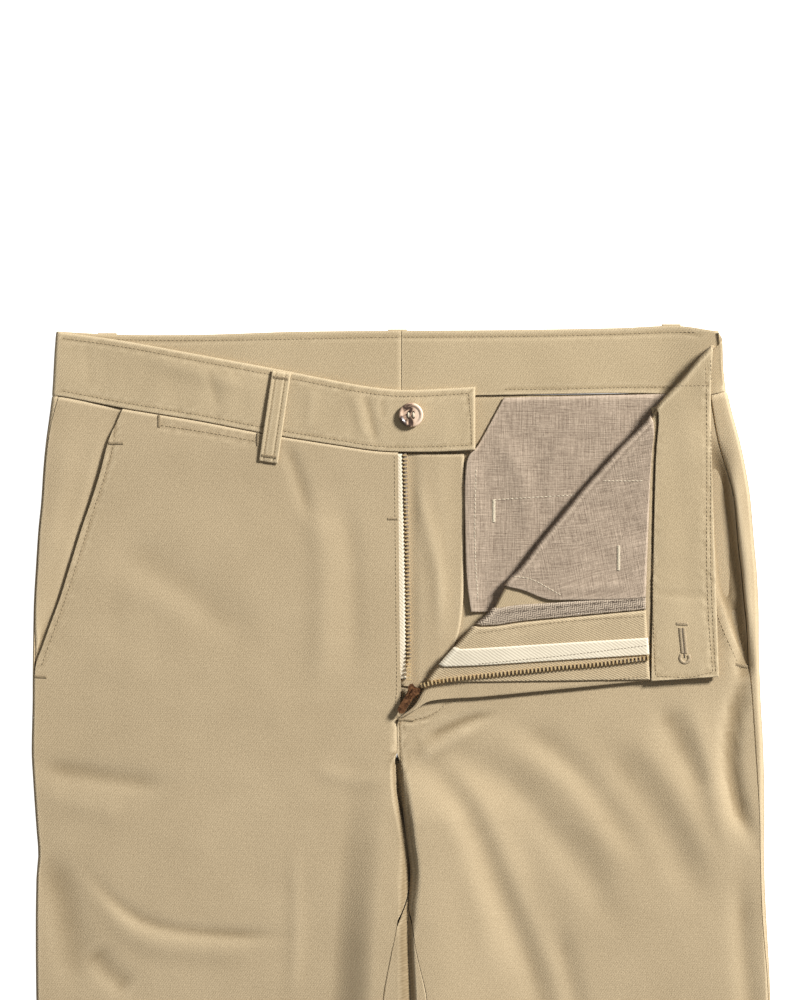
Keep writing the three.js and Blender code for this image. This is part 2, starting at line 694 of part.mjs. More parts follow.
// A piece on the folded corner, with rows from the fold to its far side as it lies. It wraps a part of
// the roll, and its last row may be bowed.
function onCorner(name, colour, shape, from, to) {
  const { foldFirst, foldLast, farFirst, farLast, rows: count, wrap, bow } = shape;
  const wrapFrom = ROLL_LENGTH * wrap - ROLL_REACH;
  const rows = steps(count, (v) => {
    const fold = mixPoint(foldFirst, foldLast, v);
    const start = foldPoint(along(fold), wrapFrom);
    const end = unfolded(mixPoint(farFirst, farLast, v));
    const length = across(end) - across(start);
    const flatFrom = clamp((ROLL_LENGTH * (1 - wrap)) / length, 0, 1);
    const parts = [
      ...steps(3, (part) => part * flatFrom),
      ...steps(5, (part) => mix(flatFrom, 1, part)).slice(1),
    ];
    return parts.map((part) => (depth) => {
      const place = rolled(mixPoint(start, end, part), depth);
      const [dx, dy] = bow ? bow(part) : [0, 0];
      return [place[0] + v ** 3 * dx, place[1] + v ** 3 * dy, place[2]];
    });
  });
  return wall(name, colour, rows, from, to);
}

// A straight-sided strip along a path of places, each with its level
function strip(name, colour, path, width, thickness) {
  const rows = path.map(([x, y, z], i) => {
    const before = path[Math.max(i - 1, 0)];
    const after = path[Math.min(i + 1, path.length - 1)];
    const length = Math.hypot(after[0] - before[0], after[1] - before[1]);
    const side = [(after[1] - before[1]) / length, (before[0] - after[0]) / length];
    return [-0.5, 0.5].map((part) => (depth) => [
      x + part * width * side[0],
      y + part * width * side[1],
      z + depth,
    ]);
  });
  return wall(name, colour, rows, 0, thickness);
}

// Levels of what lies inside the garment and on the folded corner
const SHIELD_LEVEL = 1.7;
const TAPE_LEVEL = 3.2;
const TAPE_THICKNESS = 1;
const CHAIN_WIDTH = 2.9;
const CHAIN_THICKNESS = 1.9;
const CORNER_TOP = THICKNESS + 2 * ROLL_INSIDE + INSIDE_LAYER + CLOTH;
const TAPE_DEPTH = INSIDE_LAYER + CLOTH + SEAM_GAP;

function flyPieces() {
  const shield = laid(
    "fly_shield",
    KHAKI,
    sideThrough([[-12, 456.3], [-12, 400], [-12, 340], [-10, 306]]),
    sideThrough([[41.2, 456.3], [41.2, 400], [38, 340], [18, 302]]),
    6, 3, SHIELD_LEVEL, CLOTH,
  );
  const tape = laid(
    "zip_tape_right",
    TAPE_WHITE,
    sideThrough([[-9, 456.3], [-8, 380], [-7, 309]]),
    sideThrough([[0.8, 456.3], [2.6, 380], [3.4, 309]]),
    5, 1, TAPE_LEVEL, TAPE_THICKNESS,
  );
  const chain = strip(
    "zip_chain_right",
    BRASS,
    [
      [2.6, 456.3, TAPE_LEVEL],
      [3.9, 400, TAPE_LEVEL],
      [4.9, 335, TAPE_LEVEL],
      [5.1, 320, TAPE_LEVEL + 1.1],
      [5.2, 307.8, SLIDER_LEVEL + 0.9],
    ],
    CHAIN_WIDTH,
    CHAIN_THICKNESS,
  );
  return [shield, tape, chain];
}

function cornerPieces() {
  const inside = [INSIDE_LAYER, INSIDE_LAYER + CLOTH];
  const facing = onCorner(
    "fly_facing",
    KHAKI,
    {
      foldFirst: [47, 342.5],
      foldLast: [19, 305],
      farFirst: [159.3, 354.2],
      farLast: [161.9, 309],
      rows: 3,
      wrap: 0.35,
    },
    ...inside,
  );
  const binding = onCorner(
    "fly_binding",
    HERRINGBONE,
    {
      foldFirst: [60, 354],
      foldLast: [48.5, 343.4],
      farFirst: [159.2, 363],
      farLast: [159.3, 354.8],
      rows: 1,
      wrap: 0.35,
    },
    ...inside,
  );
  const bag = onCorner(
    "front_pocket_bag_left",
    POCKETING,
    {
      foldFirst: [161, 483],
      foldLast: [67, 369],
      farFirst: [163, 470],
      farLast: [159.2, 363.9],
      rows: 6,
      wrap: 0.35,
      bow: (part) => [0, -1.5 * Math.sin(Math.PI * part) ** 2],
    },
    inside[0] + 0.15,
    inside[1] + 0.15,
  );
  const tape = onCorner(
    "zip_tape_left",
    TAPE_WHITE,
    {
      foldFirst: [34, 331],
      foldLast: [24, 319],
      farFirst: [160.6, 336.4],
      farLast: [161.4, 325.3],
      rows: 1,
      wrap: 1,
    },
    TAPE_DEPTH,
    TAPE_DEPTH + TAPE_THICKNESS,
  );
  const level = CORNER_TOP + SEAM_GAP;
  const chain = strip(
    "zip_chain_left",
    BRASS,
    [
      [161.6, 323.4, level],
      [129.4, 319.3, level],
      [103.4, 317, level],
      [64.4, 312.8, level],
      [25.4, 308.3, level],
      [19, 306.7, level],
      [15.8, 305.9, level - 0.3],
      [14.2, 305.4, level - 1],
      [12.6, 305, SLIDER_LEVEL + 2.4],
    ],
    CHAIN_WIDTH,
    CHAIN_THICKNESS,
  );
  return [facing, binding, bag, tape, chain];
}

// Zip slider: two plates round a wedge, side walls and a bail, and its pull tab
const SLIDER_PLACE = [7.15, 300.5];
const SLIDER_LEVEL = 5.6;
const SLIDER_TURN = -Math.atan2(0.53, 0.85);
const SLIDER = { length: 10.4, mouth: 8.4, tail: 5.4, height: 4, plate: 1.1 };
const BAIL = { width: 1.6, length: 4.4, height: 2.4, wire: 0.8, ahead: 0.5 };
const TAB = { width: 5, length: 16, thickness: 1, hole: 5, holeWidth: 2.4, bar: 1 };

function sliderPlateShape() {
  const { length, mouth, tail } = SLIDER;
  const rear = -length / 2;
  const front = length / 2;
  return new THREE.Shape()
    .moveTo(-tail / 2 + 1, rear)
    .lineTo(tail / 2 - 1, rear)
    .quadraticCurveTo(tail / 2, rear, tail / 2, rear + 1.4)
    .quadraticCurveTo(tail / 2, 0, mouth / 2, 1.6)
    .quadraticCurveTo(mouth / 2 + 0.3, front - 1, mouth / 2 - 1.4, front)
    .quadraticCurveTo(0, front - 1.8, -mouth / 2 + 1.4, front)
    .quadraticCurveTo(-mouth / 2 - 0.3, front - 1, -mouth / 2, 1.6)
    .quadraticCurveTo(-tail / 2, 0, -tail / 2, rear + 1.4)
    .quadraticCurveTo(-tail / 2, rear, -tail / 2 + 1, rear);
}

const extruded = (shape, depth) =>
  new THREE.ExtrudeGeometry(shape, { depth, bevelEnabled: false, curveSegments: 4 });

function boxSolid(size, place) {
  return solid(new THREE.BoxGeometry(...size).translate(...place));
}

function slider() {
  const { height, plate, length, tail } = SLIDER;
  const shape = sliderPlateShape();
  const wedge = new THREE.Shape()
    .moveTo(0, -0.6)
    .lineTo(1.1, 2.4)
    .lineTo(0.5, 3.8)
    .lineTo(-0.5, 3.8)
    .lineTo(-1.1, 2.4);
  let body = solid(extruded(shape, plate))
    .add(solid(extruded(shape, plate).translate(0, 0, height - plate)))
    .add(solid(extruded(wedge, height - plate).translate(0, 0, plate / 2)));
  for (const side of [-1, 1])
    body = body.add(
      boxSolid([0.7, length * 0.45, height - plate], [
        (side * (tail - 0.7)) / 2,
        -length * 0.2,
        height / 2,
      ]),
    );
  const { width, length: run, height: rise, wire, ahead } = BAIL;
  const arch = boxSolid([width, run, rise + 0.2], [0, ahead, height + rise / 2 - 0.1]).subtract(
    boxSolid([width + 1, run - 2 * wire, rise - wire + 0.4], [
      0,
      ahead,
      height + (rise - wire) / 2 - 0.2,
    ]),
  );
  body = body.add(arch);
  return inSliderPlace(named("zip_slider", BRASS, geometryOf(body)));
}

// The tab's hinge is the bar of its own end, which runs through the bail
function pullTab() {
  const { width, length, thickness, hole, holeWidth, bar } = TAB;
  const half = width / 2;
  const outline = new THREE.Shape()
    .moveTo(-half, bar / 2)
    .lineTo(-half, -length + half)
    .absarc(0, -length + half, half, Math.PI, 2 * Math.PI, false)
    .lineTo(half, bar / 2);
  const gap = new THREE.Path()
    .moveTo(-holeWidth / 2, -bar / 2)
    .lineTo(holeWidth / 2, -bar / 2)
    .lineTo(holeWidth / 2, -hole + holeWidth / 2)
    .absarc(0, -hole + holeWidth / 2, holeWidth / 2, 0, -Math.PI, true)
    .lineTo(-holeWidth / 2, -bar / 2);
  outline.holes.push(gap);
  const plate = new THREE.ExtrudeGeometry(outline, {
    depth: thickness,
    bevelEnabled: false,
    curveSegments: 8,
  });
  const hinge = SLIDER.height + SEAM_GAP + thickness / 2;
  plate.translate(0, BAIL.ahead, hinge - thickness / 2);
  return inSliderPlace(named("zip_pull_tab", BRASS, plate));
}

function inSliderPlace(mesh) {
  mesh.rotation.z = SLIDER_TURN;
  mesh.position.set(...SLIDER_PLACE, SLIDER_LEVEL);
  return mesh;
}

// Belt loop: a narrow strip from its top to its foot, at a level
function loop(name, top, foot, level) {
  const path = steps(3, (part) => [...mixPoint(top, foot, part), level]);
  return strip(name, KHAKI, path, 12.5, CLOTH);
}

function beltLoops() {
  const underBack = -LOOP_ROOM;
  const onFront = THICKNESS + SEAM_GAP;
  return [
    loop("belt_loop_front_right", [-77.7, 509.4], [-86.4, 450.3], onFront),
    loop("belt_loop_front_left", [200.2, 385], [140, 385], onFront + 0.15),
    loop("belt_loop_back_right", [-191.8, 535], [-191.8, 475], underBack),
    loop("belt_loop_back_centre", [-2.3, 537.4], [-2.3, 476], underBack),
    loop("belt_loop_back_left", [176.5, 540.8], [176.5, 480], underBack),
  ];
}

// Four-hole button on the band's end, with a rim round a shallow dish
const BUTTON = { place: [6.5, 481.2], radius: 8, thickness: 3, rim: 1.6, dish: 0.8 };
const BUTTON_HOLE = { radius: 0.9, spread: 1.6 };

function button() {
  const { place, radius, thickness, rim: ring, dish } = BUTTON;
  const profile = [
    [0, 0],
    [radius - 1, 0],
    [radius, 1],
    [radius, thickness - 0.7],
    [radius - 0.6, thickness],
    [radius - ring, thickness],
    [radius - ring - 0.9, thickness - dish],
    [0, thickness - dish],
  ].map(([x, y]) => new THREE.Vector2(x, y));
  const disc = new THREE.LatheGeometry(profile, 32).rotateX(Math.PI / 2);
  let body = solid(disc);
  for (const [x, y] of [[1, 1], [1, -1], [-1, -1], [-1, 1]]) {
    const drill = new THREE.CylinderGeometry(BUTTON_HOLE.radius, BUTTON_HOLE.radius, 8, 10);
    drill.rotateX(Math.PI / 2).translate(x * BUTTON_HOLE.spread, y * BUTTON_HOLE.spread, 0);
    body = body.subtract(solid(drill));
  }
  const mesh = named("button", HORN, geometryOf(body));
  mesh.position.set(...place, THICKNESS + LOOP_ROOM + SEAM_GAP);
  return mesh;
}

function backPocketBag() {
  const level = INSIDE_LAYER;
  return laid(
    "back_pocket_bag_left",
    POCKETING,
    sideThrough([[67, 492.6], [51, 463], [42.2, 448], [41.8, 400], [43, 372], [45.5, 352.8]]),
    sideThrough([[180, 495.3], [178, 463], [176, 440], [172, 410], [168, 380], [165, 352]]),
    8, 4, level, 1,
  );
}

function ticketFacing() {
  const top = (x) => [x, rightWaistSeam(x) - SEAM_GAP];
  const side = (x) => (part) => {
    const [px, py] = top(x);
    return [px, py - 28 * part];
  };
  const level = THICKNESS - INSIDE_LAYER - CLOTH;
  return laid("ticket_pocket_facing", KHAKI, side(-158), side(-90), 3, 4, level, CLOTH);
}

const trousers = new THREE.Group();
trousers.add(
  frontRight(),
  frontLeft(),
  back("back_right", RIGHT),
  back("back_left", LEFT),
  bandRight("waistband_outer_right", 0, CLOTH),
  bandRight("waistband_facing_right", INSIDE_LAYER, INSIDE_LAYER + CLOTH),
  bandLeft("waistband_outer_left", 0, CLOTH),
  bandLeft("waistband_facing_left", INSIDE_LAYER, INSIDE_LAYER + CLOTH),
  pocketFacing("pocket_facing_right", RIGHT, rightWaistSeam),
  pocketFacing("pocket_facing_left", LEFT, leftWaistSeam),
  ticketFacing(),
  ...flyPieces(),
  ...cornerPieces(),
  slider(),
  pullTab(),
  ...beltLoops(),
  button(),
  backPocketBag(),
);

export default trousers;
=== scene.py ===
"""Chino trousers laid flat, front up, with the fly open and the left front's fly corner folded back.
The tables are in millimetres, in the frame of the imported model: +Y to the waist, +X to the wearer's left."""
import math

import bmesh
import bpy
import numpy as np
from mathutils import Matrix, Vector, noise
from mathutils.bvhtree import BVHTree


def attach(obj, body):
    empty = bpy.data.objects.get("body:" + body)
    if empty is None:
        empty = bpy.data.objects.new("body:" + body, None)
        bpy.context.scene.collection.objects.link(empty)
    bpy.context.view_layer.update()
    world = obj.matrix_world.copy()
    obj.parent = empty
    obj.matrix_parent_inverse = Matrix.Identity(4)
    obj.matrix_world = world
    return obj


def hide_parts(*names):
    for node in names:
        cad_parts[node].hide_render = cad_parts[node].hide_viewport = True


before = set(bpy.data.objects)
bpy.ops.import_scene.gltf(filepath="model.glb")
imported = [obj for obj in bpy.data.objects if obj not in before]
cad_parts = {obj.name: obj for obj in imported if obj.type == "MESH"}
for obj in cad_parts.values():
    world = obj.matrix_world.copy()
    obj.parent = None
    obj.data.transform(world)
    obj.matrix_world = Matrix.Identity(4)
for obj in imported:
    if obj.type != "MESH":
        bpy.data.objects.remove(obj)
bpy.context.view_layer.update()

MM = 0.001

# Cloth and seams
CLOTH = 1.2
SEAM_GAP = 0.3
EDGE_RADIUS = 2.9
THICKNESS = 2 * EDGE_RADIUS
INSIDE_LAYER = CLOTH + SEAM_GAP
HEM_Y = -541
LEG_TOP_Y = 276
RIGHT_SIDE_TOP_Y = 485.2
SEAM_ROOM = 1.5 * SEAM_GAP
FRONT_STEP = 2.4
BETWEEN = (0.25, 0.5, 0.75)
LOOP_ROOM = CLOTH + SEAM_GAP
LIFT_FROM_Y = 415
LIFT_TO_Y = 472
TOP_SHARE = 0.36

# The folded corner
FOLD_TOP = (197.6, 527.3)
FOLD_FOOT = (-2.6, 284.9)
ROLL_INSIDE = 1.0
ROLL_MIDDLE = ROLL_INSIDE + CLOTH / 2
ROLL_LENGTH = math.pi * ROLL_MIDDLE
ROLL_REACH = ROLL_INSIDE + INSIDE_LAYER + CLOTH

# Each half's side: height, outline, and how far in from it the side seam and the front's own edge lie
RIGHT_SIDE = [
    (494, -227.5, 4.5, 50), (478, -229.6, 2.2, 45), (465, -231.4, 1.3, 41), (445, -233.4, 1, 37.7),
    (426, -234.7, 1, 33), (406, -236.6, 1, 28), (387, -237.9, 1, 23.4), (361, -239.5, 1, 16.9),
    (346, -239.9, 1, 11.7), (328, -240.2, 1, 5.5), (320, -240.3, 1, 2.6), (309, -240.4, 1, 1),
    (296, -240.5, 1, 1), (259, -241, 1, 1), (241, -239.9, 1, 1), (211, -237.9, 1, 1),
    (195, -236.9, 1, 1), (179, -238.2, 1, 1), (101, -237.9, 1, 1), (0, -235, 1, 1),
    (-250, -220, 1, 1), (HEM_Y, -197, 1, 1),
]
LEFT_SIDE = [
    (497, 211.9, 11, 37.5), (481, 215.8, 12.5, 38.3), (465, 220.4, 14, 39.2), (452, 223.6, 13.5, 39.3),
    (439, 226.2, 12, 38.8), (426, 228.2, 11.2, 37.7), (393, 230.8, 10.6, 32.6), (380, 232, 10.2, 30.7),
    (361, 232.7, 9.2, 25), (345, 233.2, 8, 19.4), (330, 233.5, 7.3, 13.2), (316, 233.9, 6.9, 7.4),
    (309, 234.2, 6.5, 6.5), (296, 234.7, 5.9, 5.9), (257, 236.6, 5.2, 5.2), (218, 236.6, 3, 3),
    (192, 236.6, 2.6, 2.6), (153, 237.9, 2.6, 2.6), (114, 239.9, 1.6, 1.6), (60, 241, 1.2, 1.2),
    (0, 239.5, 1.2, 1.2), (-250, 225, 1.2, 1.2), (HEM_Y, 203, 1.2, 1.2),
]

# Each half's inner edge: height, front edge, back edge, and how far in the inseam lies
RIGHT_INNER = [
    (458, -1.9, -0.2, 0.2), (322, -0.6, -0.2, 0.2), (302, 0, -0.2, 0.2), (292, -0.8, -0.5, 0.2),
    (284, -2.8, -1.2, 0.2), (262, -2.8, -2.8, 0.2), (252, -4.5, -4.5, 0.2), (231, -3.3, -3.3, 0.2),
    (205, 1.3, 1.3, 0.2), (172, 0.7, 0.7, 0.3), (146, 0.7, 0.7, 3.9), (127, 0.9, 0.9, 8.1),
    (101, 1.3, 1.3, 13), (20, -1, -1, 16), (-200, -6, -6, 12), (HEM_Y, -12, -12, 6),
]
LEFT_INNER = [
    (450, -8.8, 0.2, 0.2), (391, -3.5, 0.2, 0.2), (339, 1.4, 0.2, 0.2), (313, 4.9, 0.2, 0.2),
    (303, 5.5, 0.1, 0.2), (294, 3, -0.2, 0.2), (284, -2.2, -0.8, 0.2), (262, -2.4, -2.4, 0.2),
    (252, -1, -1, 0.2), (231, 1.3, 1.3, 0.2), (205, 3.9, 3.9, 0.2), (182, 6.5, 6.5, 0.3),
    (159, 4.4, 4.4, 2), (140, 3.6, 3.6, 5), (127, 4, 4, 7.2), (101, 5.2, 5.2, 11.7),
    (20, 7, 7, 15), (-200, 12, 12, 11), (HEM_Y, 18, 18, 6),
]

# The waistband's edges: place across and height
RIGHT_WAIST_SEAM = [
    (-227.5, 493.5), (-221, 493.3), (-181.4, 485.7), (-130.7, 477.3), (-90.4, 469.5), (-39.7, 461.4),
    (-13.7, 457.8), (18.9, 457.1), (48.4, 458.4),
]
RIGHT_WAIST_TOP = [
    (-224.9, 535.8), (-182.7, 529.9), (-130.7, 520.5), (-78.7, 510.8), (-26.7, 500.7), (-0.7, 497.8),
    (25.4, 498.4), (48.4, 499.7),
]
BACK_WAIST_TOP = [
    (-224.9, 535.8), (-182, 533.8), (-130, 533.8), (-65, 535.8), (64, 536.8), (142, 538.1),
    (181, 539.8), (201, 538.4),
]
BACK_WAIST_SEAM = [(-227.5, 493.5), (0, 493.5), (173, 496.1), (210, 496.1)]
BAND_END_X = 48.4
RIGHT_BAND_SIDE = (-227.5, -224.9)
LEFT_BAND_SIDE = (211.9, 206.7)
LEFT_BAND_TOP_Y = 528.5
LEFT_BAND_SEAM_Y = 496.1
FLAP_BAND_SEAM_END = (162.5, 308)
FLAP_BAND_TOP_END = (206.7, 310.9)
FOOT_SIDE_Y = 311
FOOT_INNER_Y = 306
FLY_FOOT = [(306, 301), (300, 295), (293, 289), (287, 284)]
CROTCH_TOP_Y = 262
CROTCH_POINT_Y = 252

# Levels of what lies inside and on the folded corner
SHIELD_LEVEL = 1.7
TAPE_LEVEL = 3.2
TAPE_THICKNESS = 1.0
CHAIN_THICKNESS = 1.9
CORNER_TOP = THICKNESS + 2 * ROLL_INSIDE + INSIDE_LAYER + CLOTH
TAPE_DEPTH = INSIDE_LAYER + CLOTH + SEAM_GAP
SLIDER_LEVEL = 5.6

# Creases of the fronts as they lie: the line through each, how wide it is and how high or deep
FRONT_CREASES = [
    ([(-39.6, 425.9), (-31.9, 406.4), (-26.7, 347.9), (-29.9, 308.9)], 8, -1.0),
    ([(-62, 440), (-52, 400), (-50, 350), (-54, 300)], 9, 0.9),
    ([(-75.4, 464.9), (-65.7, 438.9), (-59.1, 412.9)], 5, -0.8),
    ([(-198.9, 396.7), (-163.2, 386.9), (-130.7, 360.9), (-91.7, 328.4)], 15, -1.0),
    ([(-190, 372), (-155, 362), (-125, 340)], 12, 0.4),
    ([(-239, 253.7), (-189.2, 245.2), (-150, 240)], 7, -1.1),
    ([(-238, 236), (-200, 226), (-175, 222)], 9, 0.7),
    ([(-205, 185), (-190, 168), (-170, 153), (-145, 146), (-110, 143), (-72, 142)], 4.5, -1.0),
    ([(-200, 172), (-172, 142), (-140, 134), (-90, 132)], 8, 0.9),
    ([(-203, 136), (-190, 118), (-174, 106)], 8, -1.3),
    ([(-236, 200), (-222, 170), (-214, 130), (-212, 100)], 12, -1.5),
    ([(-68.9, 198.4), (-67.6, 146.4), (-70, 100)], 5, 0.5),
    ([(2.6, 264.7), (18.9, 251), (36, 234), (49, 210), (62, 178), (76, 145), (90, 108), (98, 40)], 10, -1.9),
    ([(18, 262), (34, 250), (54, 224), (68, 194), (82, 156), (98, 112)], 9, 1.1),
    ([(20, 240), (34, 222), (44, 190), (54, 150), (66, 100)], 10, 0.7),
    ([(28, 262), (72, 240), (104, 205), (126, 176), (140, 140)], 11, -1.5),
    ([(60, 268), (100, 246), (134, 206), (150, 176)], 10, 0.9),
    ([(72, 286), (112, 252), (140, 216), (160, 190)], 10, -1.3),
    ([(129.3, 270), (158, 232), (180, 196), (198, 159.4)], 11, -1.4),
    ([(150, 278), (180, 236), (208, 184)], 9, 1.1),
    ([(168.3, 295.9), (187.8, 256.9), (200, 230)], 8, -1.4),
    ([(203.5, 470), (207.4, 432.4), (210, 399.9), (213, 370), (214, 350)], 8, -3.6),
    ([(216, 365), (221, 336), (225, 319), (223, 305)], 4.5, -3),
    ([(224, 312), (217.1, 283), (215.2, 257), (220.4, 224.5), (231.4, 201.7)], 5.5, -3.2),
    ([(221.7, 185.4), (223.6, 133.4), (226.9, 100.9), (228, 50)], 7, -1.5),
    ([(215, 460), (219, 426), (224, 390), (228, 345), (230, 325)], 4.5, 2.4),
    ([(188, 300), (198, 262), (206, 225), (216, 190)], 7, 1.2),
    ([(100.1, 152.9), (113.1, 100.9), (118, 60)], 8, -1.4),
    ([(64.4, 292.7), (28.6, 276.4), (12.3, 268.6)], 4.5, -1.4),
    ([(50, 278), (26, 266), (10, 256)], 5, 0.9),
    ([(-6, 246), (-30, 244), (-60, 252)], 6, 0.5),
    ([(-150, -10), (-110, -38), (-60, -55)], 12, -1.9),
    ([(-170, -40), (-120, -74), (-75, -84)], 9, -1.5),
    ([(-205, -52), (-170, -62), (-140, -60)], 8, -1.1),
    ([(-160, 6), (-116, -20), (-70, -36)], 9, 1.1),
    ([(60, -16), (110, -48), (168, -60)], 12, -1.9),
    ([(78, -62), (130, -86), (180, -88)], 9, -1.4),
    ([(66, 2), (112, -30), (160, -40)], 9, 1.1),
    ([(190, 0), (206, -34), (212, -70)], 9, -1.2),
    ([(-180, -250), (-130, -282), (-70, -290)], 13, -1.5),
    ([(54, -262), (120, -300), (180, -296)], 13, -1.5),
    ([(-160, -400), (-110, -418), (-66, -410)], 11, -1.1),
    ([(66, -396), (110, -420), (150, -418)], 11, -1.1),
    ([(-112, 60), (-110, -60), (-106, -300), (-104, -535)], 3.2, 0.6),
    ([(112, 60), (112, -60), (110, -300), (110, -535)], 3.2, 0.6),
]

# Slopes: the cloth stands higher on one side of a line, as beside the inseams
FRONT_SLOPES = [
    ([(-16, 290), (-19, 262), (-22, 236), (-25, 200), (-28, 160), (-31, 101), (-38, 20), (-52, -100)],
     13.5, 7.2),
]


def mix(a, b, part):
    return a + (b - a) * part


def mix_point(a, b, part):
    return tuple(mix(p, q, part) for p, q in zip(a, b))


def clamp(value, low, high):
    return min(max(value, low), high)


def ease(start, end, value):
    part = np.clip((np.asarray(value, float) - start) / (end - start), 0, 1)
    return part * part * (3 - 2 * part)


def through(table, column, along=0):
    """A smooth curve through one column of a table, as a function of another column"""
    rows = sorted(table, key=lambda row: row[along])
    at = np.array([row[along] for row in rows], float)
    value = np.array([row[column] for row in rows], float)
    last = len(rows) - 1
    before = np.maximum(np.arange(last + 1) - 1, 0)
    after = np.minimum(np.arange(last + 1) + 1, last)
    slope = (value[after] - value[before]) / (at[after] - at[before])

    def curve(place):
        p = np.clip(place, at[0], at[-1])
        i = np.clip(np.searchsorted(at, p, side="left") - 1, 0, last - 1)
        width = at[i + 1] - at[i]
        s = (p - at[i]) / width
        a = value[i + 1] - value[i]
        rise = slope[i] * width - a
        fall = a - slope[i + 1] * width
        return mix(value[i], value[i + 1], s) + s * (1 - s) * ((1 - s) * rise + s * fall)

    return curve


class Half:
    """One half's outline curves, with out as the side that its outer edge faces"""

    def __init__(self, side, inner, out):
        self.out = out
        self.edge, self.seam, self.opening = (through(side, c) for c in (1, 2, 3))
        self.front, self.back, self.inseam = (through(inner, c) for c in (1, 2, 3))


RIGHT = Half(RIGHT_SIDE, RIGHT_INNER, -1)
LEFT = Half(LEFT_SIDE, LEFT_INNER, 1)
right_waist_seam = through(RIGHT_WAIST_SEAM, 1)
right_waist_top = through(RIGHT_WAIST_TOP, 1)
back_waist_top = through(BACK_WAIST_TOP, 1)
back_waist_seam = through(BACK_WAIST_SEAM, 1)


def lift(y):
    return LOOP_ROOM * ease(LIFT_FROM_Y, LIFT_TO_Y, y)


# A row of cloth is an array of places by two depths by (x, y, z, and the flat cloth's own u, v)
def rim_row(middle, out, reach, y, depths):
    """Round the rolled edge: reach is the way round it, below 0 on top, over the half turn beneath"""
    reach = np.asarray(reach, float)[:, None]
    depth = np.asarray(depths, float)[None, :]
    y = np.broadcast_to(np.asarray(y, float).reshape(-1, 1), reach.shape)
    radius = EDGE_RADIUS - depth
    half_turn = math.pi * EDGE_RADIUS
    turn = np.clip(reach / EDGE_RADIUS, 0, math.pi)
    x = middle + out * (radius * np.sin(turn) + np.minimum(reach, 0) - np.maximum(reach - half_turn, 0))
    z = EDGE_RADIUS + radius * np.cos(turn)
    full = np.ones_like(x)
    return np.stack([x, y * full, z, (middle + out * reach) * full, y * full], -1)


def flat_row(x, y, z, depths, sign=-1):
    """A level stretch: z is the height at depth 0, and a depth goes down by sign"""
    x, y, z = np.broadcast_arrays(*(np.asarray(v, float) for v in (x, y, z)))
    depth = np.asarray(depths, float)[None, :]
    full = np.ones((len(x), len(depths)))
    return np.stack([x[:, None] * full, y[:, None] * full, z[:, None] + sign * depth,
                     x[:, None] * full, y[:, None] * full], -1)


def seam_reach(inset):
    if inset < EDGE_RADIUS:
        return EDGE_RADIUS * math.asin(min(1, 1 - inset / EDGE_RADIUS))
    return EDGE_RADIUS - inset


def crotch_turn(y):
    return float(1 - ease(CROTCH_POINT_Y, CROTCH_TOP_Y, y))


OUTER_COLUMNS = 8
INNER_COLUMNS = 8
MIN_STEP = 0.06


def front_outer(half, y, inset, depths):
    start = seam_reach(inset + SEAM_GAP / 2)
    end = min(0, start - MIN_STEP * OUTER_COLUMNS)
    reach = np.linspace(start, end, OUTER_COLUMNS + 1)
    return rim_row(half.edge(y) - half.out * EDGE_RADIUS, half.out, reach, y, depths)


def front_inner(half, y, depths):
    turn = crotch_turn(y)
    full = seam_reach(half.inseam(y) + (SEAM_GAP / 2 if turn else 0))
    to = turn * full
    shift = mix(math.sin(max(to, 0) / EDGE_RADIUS), 1, turn)
    middle = half.front(y) + half.out * EDGE_RADIUS * shift
    start = min(0, to - MIN_STEP * INNER_COLUMNS)
    reach = np.linspace(start, to, INNER_COLUMNS + 1)
    return rim_row(middle, -half.out, reach, y, depths)


def right_row(side_y, inner_y, columns, bend, depths):
    """A right front row from the side to the fly edge, bent to the waist seam by a part"""
    outer = front_outer(RIGHT, side_y, RIGHT.opening(side_y), depths)
    inner = front_inner(RIGHT, inner_y, depths)
    part = np.linspace(0, 1, columns + 1)[1:-1]
    x = mix(outer[-1, 0, 0], inner[0, 0, 0], part)
    straight = mix(outer[-1, 0, 1], inner[0, 0, 1], part)
    top = mix(RIGHT_SIDE_TOP_Y, right_waist_seam(-2) - SEAM_GAP, part)
    y = straight + bend * (right_waist_seam(x) - SEAM_GAP - 0.1 - top)
    y = np.minimum(y, right_waist_seam(x) - SEAM_GAP)
    return np.concatenate([outer, flat_row(x, y, THICKNESS, depths), inner])


def heights(top, foot, step):
    return np.linspace(top, foot, max(1, math.ceil((top - foot) / step)) + 1)


def waist_bend(index, count):
    """How much a row follows the waist seam, from all at the seam to nothing lower down"""
    return max(0, 1 - 11 * index / count / 4)


def knots(side_top, inner_top, step):
    """Side and inner heights of the rows from the waist seam to the hem, with each row's bend"""
    count = math.ceil((side_top - FOOT_SIDE_Y) / step)
    top, foot = (side_top, inner_top), (FOOT_SIDE_Y, FOOT_INNER_Y)
    rows = [(*mix_point(top, foot, i / count), waist_bend(i, count)) for i in range(count + 1)]
    before = foot
    for pair in FLY_FOOT:
        for part in (1 / 3, 2 / 3, 1):
            rows.append((*mix_point(before, pair, part), 0))
        before = pair
    return rows


LEG_HEIGHTS = [*heights(LEG_TOP_Y, 250, 1.6), *heights(248, 100, 2.3), *heights(96, HEM_Y, 5.5)]


def front_right_rows(depths):
    columns = 98
    foot_side, foot_inner = FLY_FOOT[-1]
    upper = [right_row(s, i, columns, b, depths)
             for s, i, b in knots(RIGHT_SIDE_TOP_Y, right_waist_seam(-2) - SEAM_GAP, FRONT_STEP)]
    between = [right_row(mix(foot_side, LEG_TOP_Y, p), mix(foot_inner, LEG_TOP_Y, p), columns, 0, depths)
               for p in BETWEEN]
    legs = [right_row(y, y, columns, 0, depths) for y in LEG_HEIGHTS]
    return np.array(upper + between + legs)


